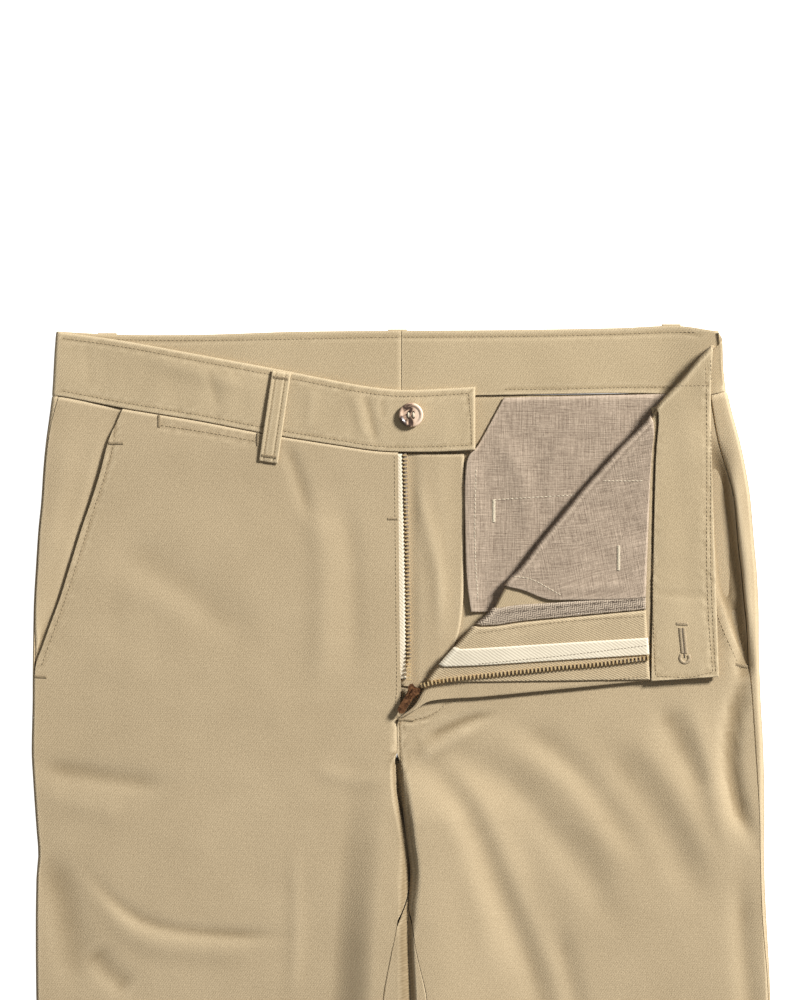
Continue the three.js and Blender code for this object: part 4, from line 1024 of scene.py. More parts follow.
def facing_relief(x, y, z, u, v):
    behind = 1 - ease(2.5, 4, z)
    stitches = beside(x, y, [FACING_TOP_STITCH, FACING_LOW_STITCH], pucker=0.14)
    return -behind * np.abs(stitches) * 0.8, behind * (0.25 + 0.25 * uneven(x, y, 30, 5))


CORNER_BAND_STITCHES = [
    [(164.5, 470), (164.1, 425.9), (163.8, 373.9), (164.5, 334.9), (165.8, 311.5)],
    [(165.8, 311.5), (187.8, 310.9), (202.8, 314.1)],
    [(197.6, 512), (198.9, 458.4), (198.9, 386.9), (200.2, 347.9), (202.8, 314.1)],
    [(200.8, 517), (201.5, 458.4), (201.5, 386.9), (202.8, 347.9), (204.8, 314.1)],
]


def corner_band_relief(x, y, z, u, v):
    part = roll_part(u, v)
    turned = ease(0.7, 1.4, part) * ease(2.75, 3.05, z)
    out, up = corner_relief(x, y, z, u, v)
    return out, up + turned * beside(x, y, CORNER_BAND_STITCHES, depth=0.22, pucker=0.2, seed=2)


def left_facing_relief(x, y, z, u, v):
    """The inside of the band curls up where it turns at the side"""
    out, up = corner_band_relief(x, y, z, u, v)
    behind = 1 - ease(2.9, 3.4, z)
    curl = 3.0 * ease(168, 207, x) * (1 - ease(207, 211, x))
    stitches = beside(x, y, [FACING_TOP_STITCH, FACING_LOW_STITCH], pucker=0.14)
    rolls = 0.25 + 0.3 * uneven(x, y, 30, 5)
    part = roll_part(u, v)
    lively = (1 - behind) * 0.3 * ease(0.7, 1.4, part) * uneven(x, y * 0.45, 15, 6)
    return out, up * (1 - behind) + behind * (curl + rolls + stitches) + lively


FACING_STITCHES = [
    [(158.6, 350.5), (103.4, 346.6), (50.1, 339.5)],
    [(158.6, 361.6), (116.4, 357.7), (64.4, 352.5)],
    [(158.6, 357), (116.4, 353.1), (51.4, 345.3)],
    [(160.9, 311.6), (129.3, 308.3), (103.4, 305.7), (77.4, 303.1), (51.4, 300.5), (25.4, 299.2)],
]


def corner_bag_relief(x, y, z, u, v):
    out, up = corner_relief(x, y, z, u, v)
    part = roll_part(u, v)
    return out, up + ease(0.9, 1.8, part) * 0.3 * (1 + uneven(x * 0.6, y * 1.5, 14, 46))


def facing_corner_relief(x, y, z, u, v):
    part = roll_part(u, v)
    turned = ease(0.7, 1.4, part)
    out, up = corner_relief(x, y, z, u, v)
    return out, up + turned * beside(x, y, FACING_STITCHES, depth=0.16, pucker=0.14, seed=5)


SHIELD_CREASES = [
    ([(12.3, 440), (14, 425.9), (20, 398), (25.4, 373.9), (26, 340)], 5, 0.9),
    ([(32, 450), (30, 420), (34, 380)], 4, -0.2),
]
BAG_CREASES = [
    ([(62, 470), (80, 440), (84, 400)], 6, 0.8),
    ([(120, 490), (100, 450), (96, 420)], 5, 0.5),
    ([(50, 440), (56, 400), (54, 370)], 4, 0.5),
]


def shield_relief(x, y, z, u, v):
    fold = creases(x, y, SHIELD_CREASES)
    clear = ease(7, 14, x)
    edge = 1 - ease(24, 38, x)
    return 0, clear * edge * (np.maximum(fold, 0) + 0.4 + 0.25 * (1 + uneven(x, y, 26, 31)))


def plain_relief(x, y, z, u, v):
    return 0, 0.0 * x


def bag_relief(x, y, z, u, v):
    folds = creases(x, y, BAG_CREASES)
    rim = 1.7 * np.exp(-(((x - 44) / 8) ** 2)) * (1 - ease(452, 470, y))
    puckers = 0.3 * (1 + uneven(x * 0.5, y * 1.6, 15, 44))
    return 0, np.minimum(0.35 * (1 + uneven(x, y, 30, 41)) + folds + puckers, 1.8) + rim


# Stitches and other thread
def level_of(host, x, y, from_below=False):
    """Place and outward normal of a host's surface at a place in plan, in millimetres"""
    start, way = ((x, y, -30), (0, 0, 1)) if from_below else ((x, y, 60), (0, 0, -1))
    place, normal, _, _ = surfaces[host].ray_cast(Vector(start), Vector(way))
    if place is None:
        return None
    if (normal.z > 0) == from_below:
        normal = -normal
    return place, normal


# Along a stitch: part of its length, part of its full width, and height above the cloth
STITCH_FORM = ((-0.5, 0.45, -0.12), (-0.3, 1, 0.07), (0.3, 1, 0.07), (0.5, 0.45, -0.12))
STITCH_SIDES = 5
STITCH_PITCH = 2.7
STITCH_LENGTH = 2.15
BARTACK_PITCH = 0.5
BARTACK_RISE = 0.22


def ring_round(centre, side, up, width, height, count):
    turns = [math.tau * j / count for j in range(count)]
    return [tuple(centre + side * (width * math.cos(a)) + up * (height * math.sin(a))) for a in turns]


class Thread:
    """Collects stitches and threads of one colour that go with one panel"""

    def __init__(self, name, material, width=0.5):
        self.name, self.material, self.width = name, material, width
        self.vertices, self.faces = [], []

    def add(self, rings):
        self.faces += ring_faces(len(self.vertices), len(rings[0]), len(rings))
        for ring in rings:
            self.vertices.extend(ring)

    def stitch(self, middle, way, normal, length):
        side = normal.cross(way).normalized()
        rings = []
        for along_part, size, height in STITCH_FORM:
            centre = middle + way * (along_part * length) + normal * height
            radius = self.width / 2 * size
            rings.append(ring_round(centre, side, normal, radius, radius * 0.8, STITCH_SIDES))
        self.add(rings)

    def run(self, host, points, pitch=STITCH_PITCH, length=STITCH_LENGTH, from_below=False):
        """A line of stitches along points, on a host's surface"""
        places = path_points(points, pitch)
        for a, b in zip(places, places[1:]):
            found = level_of(host, *mix(a, b, 0.5), from_below)
            ends = [level_of(host, *p, from_below) for p in (mix(a, b, 0.15), mix(a, b, 0.85))]
            if found is None or None in ends:
                continue
            way = (ends[1][0] - ends[0][0]).normalized()
            self.stitch(found[0], way, found[1], length)

    def tube(self, points, sides=5, width=None):
        points = [Vector(p) for p in points]
        rings = []
        for i, p in enumerate(points):
            way = (points[min(i + 1, len(points) - 1)] - points[max(i - 1, 0)]).normalized()
            side = way.cross(Vector((0, 0, 1)))
            side = side.normalized() if side.length > 1e-4 else Vector((1, 0, 0))
            other = side.cross(way)
            radius = (width or self.width) / 2
            rings.append(ring_round(p, side, other, radius, radius, sides))
        self.add(rings)

    def bartack(self, host, start, end, width=2.2, from_below=False):
        """Close stitches across a short line"""
        length = math.dist(start, end)
        way = Vector((end[0] - start[0], end[1] - start[1], 0)) / length
        side = Vector((-way.y, way.x, 0))
        count = max(4, round(length / BARTACK_PITCH))
        for i in range(count + 1):
            x, y = mix_point(start, end, i / count)
            found = level_of(host, x, y, from_below)
            if found is None:
                continue
            lean = way * (0.12 if i % 2 else -0.12)
            self.stitch(found[0] + found[1] * BARTACK_RISE, (side + lean).normalized(), found[1], width)
        for off in (-0.45, 0.45):
            three = (start, mix_point(start, end, 0.5), end)
            line = [(x + side.x * off, y + side.y * off) for x, y in three]
            self.run(host, line, 1.6, 1.5, from_below)

    def build(self):
        obj = mesh_object(self.name, [(x, y, max(z, 0)) for x, y, z in self.vertices], self.faces)
        obj.data.materials.append(self.material)
        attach(obj, "garment")


# Materials
def node_of(tree, kind, inputs=None, **settings):
    node = tree.nodes.new(kind)
    for key, value in settings.items():
        setattr(node, key, value)
    for key, value in (inputs or {}).items():
        if hasattr(value, "is_output"):
            tree.links.new(value, node.inputs[key])
        else:
            node.inputs[key].default_value = value
    return node


def maths(tree, operation, *values, **settings):
    node = node_of(tree, "ShaderNodeMath", dict(enumerate(values)), operation=operation, **settings)
    return node.outputs[0]


def noise_of(tree, vector, scale, **inputs):
    named = {key.replace("_", " ").title(): value for key, value in inputs.items()}
    return node_of(tree, "ShaderNodeTexNoise", {"Vector": vector, "Scale": scale, **named}).outputs["Fac"]


def waves_of(tree, vector, scale, inputs=None, **settings):
    every = {"Vector": vector, "Scale": scale, **(inputs or {})}
    return node_of(tree, "ShaderNodeTexWave", every, **settings).outputs["Fac"]


def spread_of(tree, value, span=(0.0, 1.0), to=(0.0, 1.0)):
    """A value carried from one span to another"""
    ends = dict(zip(("From Min", "From Max", "To Min", "To Max"), (*span, *to)))
    return node_of(tree, "ShaderNodeMapRange", {"Value": value, **ends}).outputs[0]


def colours_of(tree, factor, dark, light):
    """Between two colours, each an output or three numbers"""
    first, second = (c if hasattr(c, "is_output") else (*c, 1) for c in (dark, light))
    mixed = node_of(tree, "ShaderNodeMix", {"Factor": factor, 6: first, 7: second}, data_type="RGBA")
    return mixed.outputs[2]


def turned_of(tree, vector, angle):
    return node_of(tree, "ShaderNodeVectorRotate", {"Vector": vector, "Angle": angle},
                   rotation_type="Z_AXIS").outputs[0]


def join(tree, node, outputs):
    """Links each output to the input of that name"""
    for key, output in outputs.items():
        tree.links.new(output, node.inputs[key])


def group_of(name, inputs, outputs):
    tree = bpy.data.node_groups.new(name, "ShaderNodeTree")
    for label, kind, value in inputs:
        socket = tree.interface.new_socket(label, in_out="INPUT", socket_type=kind)
        if value is not None:
            socket.default_value = value
    for label, kind in outputs:
        tree.interface.new_socket(label, in_out="OUTPUT", socket_type=kind)
    return tree, tree.nodes.new("NodeGroupInput").outputs, tree.nodes.new("NodeGroupOutput")


VECTOR, FLOAT, COLOUR = "NodeSocketVector", "NodeSocketFloat", "NodeSocketColor"


def twill_group():
    """Diagonal ribs broken by the yarns that cross them, with fine lint"""
    tree, start, end = group_of(
        "twill_weave",
        [("Cloth", VECTOR, None), ("Angle", FLOAT, 0.0), ("Ribs", FLOAT, 216.0), ("Lint", FLOAT, 1.0)],
        [("Rib", FLOAT), ("Yarn", FLOAT), ("Lint", FLOAT), ("Height", FLOAT)],
    )
    turned = turned_of(tree, start["Cloth"], start["Angle"])
    ribs = waves_of(tree, turned, start["Ribs"], {"Distortion": 3.2, "Detail": 3.0, "Detail Scale": 2.2},
                    wave_profile="SIN")
    yarns = waves_of(tree, start["Cloth"], 250.0, {"Distortion": 9.0, "Detail": 3.0, "Detail Scale": 3.0},
                     bands_direction="Y")
    lint = noise_of(tree, start["Cloth"], 900.0, detail=3.0, roughness=0.65)
    fuzz = maths(tree, "MULTIPLY", lint, start["Lint"])
    both = maths(tree, "ADD", maths(tree, "MULTIPLY", ribs, 0.62), maths(tree, "MULTIPLY", yarns, 0.22))
    height = maths(tree, "MULTIPLY_ADD", fuzz, 0.4, both)
    join(tree, end, {"Rib": ribs, "Yarn": yarns, "Lint": fuzz, "Height": height})
    return tree


def slub_group():
    """Plain weave with thick and thin yarns both ways"""
    tree, start, end = group_of("slub_weave", [("Cloth", VECTOR, None)], [("Height", FLOAT)])
    yarns = []
    for scale in ((70.0, 1300.0, 1.0), (1100.0, 60.0, 1.0)):
        drawn = node_of(tree, "ShaderNodeMapping", {"Vector": start["Cloth"], "Scale": scale}).outputs[0]
        yarns.append(noise_of(tree, drawn, 1.0, detail=3.0, roughness=0.7))
    join(tree, end, {"Height": spread_of(tree, maths(tree, "ADD", *yarns), (0.7, 1.3))})
    return tree


def dye_and_painted_shade_group():
    """Cloth colour: uneven dye over the whole piece, the weave's own light and dark, specks, and the wear and
    painted shade given by the mesh
    """
    tree, start, end = group_of(
        "dye_and_painted_shade_cloth",
        [("Cloth", VECTOR, None), ("Light", COLOUR, None), ("Dark", COLOUR, None), ("Weave", FLOAT, 0.5),
         ("Weave Share", FLOAT, 0.35), ("Specks", FLOAT, 0.3), ("Wear And Painted Shade", FLOAT, 0.5),
         ("Wear And Painted Shade Share", FLOAT, 0.9)],
        [("Colour", COLOUR), ("Roughness", FLOAT)],
    )
    broad = noise_of(tree, start["Cloth"], 16.0, detail=4.0, roughness=0.55)
    specks = noise_of(tree, start["Cloth"], 640.0, detail=2.0, roughness=0.8)
    shade = spread_of(tree, broad, (0.35, 0.65), (0.45, 0.55))
    # The mesh's wear and painted shade, the weave and the specks each move the colour between dark and light
    for source, share, settings in ((start["Wear And Painted Shade"], start["Wear And Painted Shade Share"], {}),
                                    (start["Weave"], start["Weave Share"], {}),
                                    (specks, start["Specks"], {"use_clamp": True})):
        off = maths(tree, "SUBTRACT", source, 0.5)
        shade = maths(tree, "MULTIPLY_ADD", off, share, shade, **settings)
    join(tree, end, {"Colour": colours_of(tree, shade, start["Dark"], start["Light"]),
                     "Roughness": spread_of(tree, specks, to=(0.82, 0.98))})
    return tree


TWILL = twill_group()
SLUB = slub_group()
DYE_AND_PAINTED_SHADE = dye_and_painted_shade_group()


def material_of(name):
    material = bpy.data.materials.new(name)
    material.use_nodes = True
    tree = material.node_tree
    tree.nodes.clear()
    shader = tree.nodes.new("ShaderNodeBsdfPrincipled")
    tree.links.new(shader.outputs[0], tree.nodes.new("ShaderNodeOutputMaterial").inputs[0])
    return material, tree, shader


def grouped(tree, group, inputs):
    return node_of(tree, "ShaderNodeGroup", inputs, node_tree=group).outputs


def bumped(tree, shader, height, distance):
    bump = node_of(tree, "ShaderNodeBump", {"Height": height, "Distance": distance, "Strength": 1.0})
    join(tree, shader, {"Normal": bump.outputs[0]})


def cloth_material(name, weave, light, dark, share, specks, bump):
    """A cloth whose weave function gives its height from the flat cloth's coordinates"""
    material, tree, shader = material_of(name)
    cut = node_of(tree, "ShaderNodeUVMap", uv_map="cut").outputs[0]
    height = weave(tree, cut)
    # The mesh's attribute: painted shade in hollows, troughs, steep places and between the legs, and paler
    # ridges as wear
    wear_and_painted_shade = node_of(tree, "ShaderNodeAttribute", attribute_name="wear_and_painted_shade").outputs["Fac"]
    dyed_and_shaded = grouped(tree, DYE_AND_PAINTED_SHADE, {"Cloth": cut, "Light": (*light, 1), "Dark": (*dark, 1), "Weave": height,
                                  "Weave Share": share, "Specks": specks, "Wear And Painted Shade": wear_and_painted_shade})
    join(tree, shader, {"Base Color": dyed_and_shaded["Colour"], "Roughness": dyed_and_shaded["Roughness"]})
    bumped(tree, shader, height, bump)
    return material, shader


def woven_material(name, light, dark, angle=0.65, ribs=236.0, share=0.26, specks=0.6, bump=0.0002, lint=1.0):
    def weave(tree, cut):
        if ribs:
            return grouped(tree, TWILL, {"Cloth": cut, "Angle": angle, "Ribs": ribs, "Lint": lint})["Height"]
        return grouped(tree, SLUB, {"Cloth": cut})["Height"]

    material, shader = cloth_material(name, weave, light, dark, share, specks, bump)
    shader.inputs["Sheen Weight"].default_value = 0.12
    shader.inputs["Sheen Roughness"].default_value = 0.5
    shader.inputs["Specular IOR Level"].default_value = 0.2
    return material


khaki = woven_material("khaki_twill", (0.60, 0.475, 0.30), (0.27, 0.195, 0.105))
khaki_inside = woven_material("khaki_wrong_side", (0.58, 0.46, 0.29), (0.28, 0.205, 0.115), angle=-0.65,
                              share=0.3)
khaki_band = woven_material("khaki_band", (0.61, 0.485, 0.305), (0.28, 0.205, 0.11))
pocketing = woven_material("mottled_pocketing", (0.56, 0.44, 0.325), (0.18, 0.13, 0.09), ribs=None,
                           share=0.75, specks=0.8)


def chevrons(tree, cut):
    """Chevrons along the tape"""
    parts = node_of(tree, "ShaderNodeSeparateXYZ", {"Vector": turned_of(tree, cut, 0.685)}).outputs
    slant = maths(tree, "ADD", parts[0], maths(tree, "PINGPONG", parts[1], 0.0021))
    place = node_of(tree, "ShaderNodeCombineXYZ", {"X": slant}).outputs[0]
    return waves_of(tree, place, 190.0, {"Distortion": 0.4, "Detail": 1.0})


def fine_ribs(tree, cut):
    return waves_of(tree, cut, 260.0, {"Distortion": 2.5, "Detail": 2.0}, bands_direction="DIAGONAL")


herringbone, _ = cloth_material("herringbone_tape", chevrons, (0.52, 0.42, 0.31), (0.10, 0.07, 0.05),
                                share=0.85, specks=0.5, bump=0.00018)
zip_tape, _ = cloth_material("woven_zip_tape", fine_ribs, (0.80, 0.72, 0.56), (0.56, 0.48, 0.35),
                             share=0.2, specks=0.5, bump=0.00008)


def object_place(tree):
    return node_of(tree, "ShaderNodeTexCoord").outputs["Object"]


def thread_material(name, colour, shade):
    material, tree, shader = material_of(name)
    twist = noise_of(tree, object_place(tree), 1400.0, detail=2.0)
    join(tree, shader, {"Base Color": colours_of(tree, twist, shade, colour)})
    shader.inputs["Roughness"].default_value = 0.6
    shader.inputs["Sheen Weight"].default_value = 0.2
    bumped(tree, shader, twist, 0.0001)
    return material


def metal_material(name, bright, dull, roughness, wear_scale, metallic):
    """Antique metal: bright where rubbed, dull in patches"""
    material, tree, shader = material_of(name)
    patches = noise_of(tree, object_place(tree), wear_scale, detail=5.0, roughness=0.6)
    colours = colours_of(tree, spread_of(tree, patches, (0.38, 0.62)), dull, bright)
    rough = spread_of(tree, patches, (0.3, 0.7), (roughness + 0.14, roughness - 0.06))
    join(tree, shader, {"Base Color": colours, "Roughness": rough})
    shader.inputs["Metallic"].default_value = metallic
    bumped(tree, shader, patches, 0.00006)
    return material


def horn_material():
    """Horn pattern: pale, with dark brown drawn in from one side"""
    material, tree, shader = material_of("horn_pattern")
    place = object_place(tree)
    bent = noise_of(tree, place, 130.0, detail=3.0, distortion=1.4)
    parts = node_of(tree, "ShaderNodeSeparateXYZ", {"Vector": place}).outputs
    shifted = maths(tree, "MULTIPLY_ADD", bent, 1.6, spread_of(tree, parts[0], (0.0005, 0.0075)))
    bands = node_of(tree, "ShaderNodeValToRGB", {"Fac": spread_of(tree, shifted, (0.55, 1.6))})
    ramp = bands.color_ramp.elements
    ramp[0].position, ramp[0].color = 0.0, (0.045, 0.027, 0.02, 1)
    ramp[1].position, ramp[1].color = 1.0, (0.80, 0.61, 0.46, 1)
    for position, colour in ((0.2, (0.07, 0.04, 0.027, 1)), (0.34, (0.52, 0.35, 0.24, 1)),
                             (0.6, (0.74, 0.55, 0.40, 1))):
        ramp.new(position).color = colour
    join(tree, shader, {"Base Color": bands.outputs[0], "Roughness": spread_of(tree, bent, to=(0.22, 0.4))})
    shader.inputs["Coat Weight"].default_value = 0.3
    bumped(tree, shader, bent, 0.00004)
    return material


khaki_thread = thread_material("khaki_thread", (0.40, 0.30, 0.17), (0.24, 0.175, 0.09))
cream_thread = thread_material("cream_thread", (0.78, 0.69, 0.52), (0.58, 0.49, 0.34))
hole_thread = thread_material("buttonhole_thread", (0.52, 0.41, 0.26), (0.36, 0.27, 0.155))
# Dark thread for the binding and zip tape stitches, and also for tubes of painted shade: the zip cords and the
# buttonhole slit
dark_thread_and_painted_shade = thread_material("dark_thread_and_painted_shade", (0.2, 0.145, 0.095), (0.11, 0.08, 0.05))
brass = metal_material("polished_brass", (0.92, 0.72, 0.40), (0.62, 0.42, 0.19), 0.34, 700, 0.5)
copper = metal_material("antique_copper", (0.40, 0.19, 0.085), (0.07, 0.03, 0.015), 0.36, 420, 0.75)
horn = horn_material()


def piece(node, rows, relief, material=khaki, shift=None,
          rounded=TOP_SHARE):
    obj = cloth(node + "_cloth", rows, relief, rounded, shift)
    obj.data.materials.append(material)
    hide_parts(node)


face = (0, CLOTH)
inner_face = (INSIDE_LAYER + CLOTH, INSIDE_LAYER)


def back_shift(way):
    """The backs touch along the seat seam"""
    def shift(x, y):
        return np.stack([way * 0.24 * ease(252, 262, y) * np.exp(-(((x + 1) / 5) ** 2)), 0 * y], -1)
    return shift


# Seams and stitching of the backs: dart, welt of the back pocket, seat seam and hem, as on the wearer's right
BACK_DART = [(-112, 490), (-111, 450), (-110, 408)]
BACK_WELT = [[(-176, 404), (-115, 407), (-54, 406)], [(-176, 392), (-115, 395), (-54, 394)],
             [(-176, 404), (-176, 392)], [(-54, 406), (-54, 394)]]
SEAT_STITCH = [(-4.4, 488), (-4.4, 380), (-5, 290), (-7, 264)]
BACK_HEM = [(-194, -516), (-104, -516), (-14, -516)]
BACK_LINES = [BACK_DART, *BACK_WELT, SEAT_STITCH, BACK_HEM]


def mirrored(points):
    return [(-x, y) for x, y in points]


def back_relief(x, y, z, u, v):
    """Low down, the backs' inner edges lean towards each other between the legs"""
    out, up = front_relief(x, y, z, u, v)
    low = 1 - ease(1.6, 3.6, z)
    gap = ease(20, 80, y) * (1 - ease(262, 270, y)) * (1 - ease(8, 12, np.abs(x - 1)))
    reach = (LEFT.back(y) - RIGHT.back(y)) / 2 + 0.9
    lines = [*BACK_LINES, *map(mirrored, BACK_LINES)]
    beneath = 1 - ease(0.1, 1.3, z)
    hollow = 0.3 * (1 + uneven(x, y, 60, 61)) + 0.5 * np.abs(creases(x, y, FRONT_CREASES)) * (y < 200)
    groove = np.abs(beside(x, y, lines, 0.9, 0.5, 0.2)) + np.minimum(hollow, 1.4)
    return out + np.clip(reach, 1.2, 5) * low * gap - beneath * groove * (1 - gap), up


# The panels
piece("front_right", front_right_rows(face), front_cloth_relief, shift=right_shift)
piece("front_left", front_left_rows(face), left_relief, shift=fold_shift)
piece("back_right", back_rows(RIGHT, face), back_relief, shift=back_shift(1))
piece("back_left", back_rows(LEFT, face), back_relief, shift=back_shift(-1))

# The waistband
piece("waistband_outer_right", band_rows_right(face), band_relief, khaki_band)
piece("waistband_facing_right", band_rows_right(inner_face), facing_relief, khaki_band,
      rounded=0.1)
piece("waistband_outer_left", band_rows_left(face), corner_band_relief, khaki_band, shift=fold_shift)
piece("waistband_facing_left", band_rows_left(inner_face), left_facing_relief, khaki_band, shift=fold_shift,
      rounded=0.1)

# Pockets
piece("pocket_facing_right", pocket_facing_rows(RIGHT, right_waist_seam, face), pocket_facing_relief)
piece("pocket_facing_left", pocket_facing_rows(LEFT, left_waist_seam, face), pocket_facing_relief)


def ticket_side(x):
    top = float(right_waist_seam(x)) - SEAM_GAP
    return lambda part: (x, top - 28 * part)


piece("ticket_pocket_facing",
      laid_rows(ticket_side(-158), ticket_side(-90), 10, 24, THICKNESS - INSIDE_LAYER, (0, -CLOTH)),
      front_relief)
piece("back_pocket_bag_left",
      laid_rows(side_through([(67, 492.6), (51, 463), (42.2, 448), (41.8, 400), (43, 372), (45.5, 352.8)]),
                side_through([(180, 495.3), (178, 463), (176, 440), (172, 410), (168, 380), (165, 352)]),
                50, 40, INSIDE_LAYER, (1, 0)), bag_relief, pocketing)

# The fly
piece("fly_shield",
      laid_rows(side_through([(-12, 456.3), (-12, 400), (-12, 340), (-10, 306)]),
                side_through([(41.2, 456.3), (41.2, 400), (38, 340), (18, 302)]),
                64, 24, SHIELD_LEVEL, (CLOTH, 0)), shield_relief)
piece("zip_tape_right",
      laid_rows(side_through([(-9, 456.3), (-8, 380), (-7, 309)]),
                side_through([(0.8, 456.3), (2.6, 380), (3.4, 309)]), 60, 6, TAPE_LEVEL,
                (TAPE_THICKNESS, 0)),
      plain_relief, zip_tape)


# How far round the fold's roll what lies on the corner begins
ON_TOP = 0.35


def level(part):
    return 0 * part


def bag_bow(part):
    """The bag's lower edge falls from its rounded corner to the binding"""
    return -1.2 * float(ease(0, 0.16, part)) - 6.6 * float(ease(0.1, 0.34, part)) * (1 - part) ** 0.6


piece("fly_facing",
      corner_rows((47, 342.5), (19, 305), (159.3, 354.2), (161.9, 309), ON_TOP, level, 18, 52, inner_face),
      facing_corner_relief, khaki_inside, shift=fold_shift)
piece("fly_binding",
      corner_rows((60, 354), (48.5, 343.4), (159.2, 363), (159.3, 354.8), ON_TOP, level, 5, 44, inner_face),
      facing_corner_relief, herringbone, shift=fold_shift)
piece("front_pocket_bag_left",
      corner_rows((161, 483), (67, 369), (163, 470), (159.2, 363.9), ON_TOP, bag_bow, 44, 36,
                  (INSIDE_LAYER + CLOTH + 0.15, INSIDE_LAYER + 0.15)),
      corner_bag_relief, pocketing, shift=fold_shift)
piece("zip_tape_left",
      corner_rows((34, 331), (24, 319), (160.6, 336.4), (161.4, 325.3), 0.72, level, 8, 60,
                  (TAPE_DEPTH + TAPE_THICKNESS, TAPE_DEPTH)),
      corner_relief, zip_tape, shift=fold_shift)


# Belt loops: a strip each, with a groove near each edge where it faces up; only the front right one is
# stitched, further down
def loop_relief(x, y, z, u, v):
    groove = -0.28 * np.exp(-(((np.abs(u) - 3.3) / 0.7) ** 2))
    bow = 1.0 * np.sin(math.pi * v / v.max()) ** 0.7
    return 0, groove + 0.12 * uneven(x, y, 9, 51) + bow


LOOP_WIDTH = 12.5
BELT_LOOPS = [
    ("belt_loop_front_right", (-77.7, 509.4), (-86.4, 450.3), THICKNESS + SEAM_GAP, True),
    ("belt_loop_front_left", (200.2, 385), (140, 385), THICKNESS + SEAM_GAP + 0.15, True),
    ("belt_loop_back_right", (-191.8, 535), (-191.8, 475), -LOOP_ROOM, False),
    ("belt_loop_back_centre", (-2.3, 537.4), (-2.3, 476), -LOOP_ROOM, False),
    ("belt_loop_back_left", (176.5, 540.8), (176.5, 480), -LOOP_ROOM, False),
]
for node, top, foot, at, face_up in BELT_LOOPS:
    path = [(*mix_point(top, foot, p), at) for p in np.linspace(0, 1, 32)]
    rows = strip_rows(path, LOOP_WIDTH, 12, CLOTH)
    if face_up:
        piece(node, rows[:, :, ::-1], loop_relief, khaki_band)
    else:
        piece(node, rows, plain_relief, khaki_band)


# Zip teeth
TOOTH_HALF = [(-1.45, -0.55), (0.35, -0.55), (0.75, -0.38), (1.25, -0.46), (1.45, -0.22)]
TOOTH = TOOTH_HALF + [(u, -v) for u, v in reversed(TOOTH_HALF)]
TOOTH_RINGS = ((0, 0.86), (0.35, 1), (CHAIN_THICKNESS - 0.4, 1), (CHAIN_THICKNESS, 0.8))
TOOTH_PITCH = 2.54


def teeth(name, path, head_side, shift=None):
    places = path_points(path, TOOTH_PITCH)
    vertices, faces = [], []
    for a, b in zip(places, places[1:]):
        middle = mix(a, b, 0.5)
        way = (b - a)[:2] / np.linalg.norm((b - a)[:2])
        side = np.array([way[1], -way[0]]) * head_side
        if shift is not None:
            middle[:2] += shift(np.array([middle[0]]), np.array([middle[1]]))[0]
        faces += ring_faces(len(vertices), len(TOOTH), len(TOOTH_RINGS))
        for z, size in TOOTH_RINGS:
            for u, v in TOOTH:
                place = middle[:2] + side * u * mix(size, 1, 0.3) + way * v * size
                vertices.append((*place, middle[2] + z + float(lift(middle[1]))))
    obj = mesh_object(name, vertices, faces, smooth=False)
    obj.data.materials.append(brass)
    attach(obj, "garment")
    return obj


right_chain = teeth("zip_teeth_right", [
    (2.6, 456.3, TAPE_LEVEL), (3.9, 400, TAPE_LEVEL), (4.9, 335, TAPE_LEVEL), (5.1, 320, TAPE_LEVEL + 1.1),
    (5.2, 307.8, SLIDER_LEVEL + 0.9)], -1)
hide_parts("zip_chain_right")
CORNER_LEVEL = CORNER_TOP + SEAM_GAP
left_chain = teeth("zip_teeth_left", [
    *((x, y, CORNER_LEVEL) for x, y in
      ((161.6, 323.4), (129.4, 319.3), (103.4, 317), (64.4, 312.8), (25.4, 308.3), (19, 306.7))),
    (15.8, 305.9, CORNER_LEVEL - 0.3), (14.2, 305.4, CORNER_LEVEL - 1), (12.6, 305, SLIDER_LEVEL + 2.4)], -1)
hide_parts("zip_chain_left")

# The tapes' corded edges as dark tubes under the teeth: painted shade in the gaps between the teeth
cord_shade = Thread("zip_cords_painted_shade", dark_thread_and_painted_shade, 2.2)
cord_shade.tube([(2.6, 456.3, TAPE_LEVEL + 1.8), (3.9, 400, TAPE_LEVEL + 0.3), (4.9, 335, TAPE_LEVEL + 0.3),
            (5.1, 322, TAPE_LEVEL + 0.9)], 6)
cord_shade.tube([(x, y, CORNER_LEVEL + 0.1) for x, y in
            ((160.8, 323.3), (129.4, 319.3), (103.4, 317), (64.4, 312.8), (27, 308.5))], 6)
cord_shade.build()


# Slider and pull tab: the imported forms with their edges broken
def eased_copy(node, name, material, body, width=0.16):
    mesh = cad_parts[node].data.copy()
    mesh.materials.clear()
    mesh.materials.append(material)
    work = bmesh.new()
    work.from_mesh(mesh)
    bmesh.ops.remove_doubles(work, verts=work.verts, dist=1e-6)
    bmesh.ops.dissolve_limit(work, angle_limit=math.radians(2), verts=work.verts, edges=work.edges)
    sharp = [e for e in work.edges if len(e.link_faces) == 2 and e.calc_face_angle() > math.radians(50)]
    bmesh.ops.bevel(work, geom=sharp, offset=width * MM, segments=2, profile=0.6, affect="EDGES",
                    clamp_overlap=True)
    work.to_mesh(mesh)
    work.free()
    obj = add_object(name, mesh)
    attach(obj, body)
    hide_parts(node)


eased_copy("zip_slider", "slider_body", copper, "garment")
eased_copy("zip_pull_tab", "slider_tab", copper, "pull_tab")


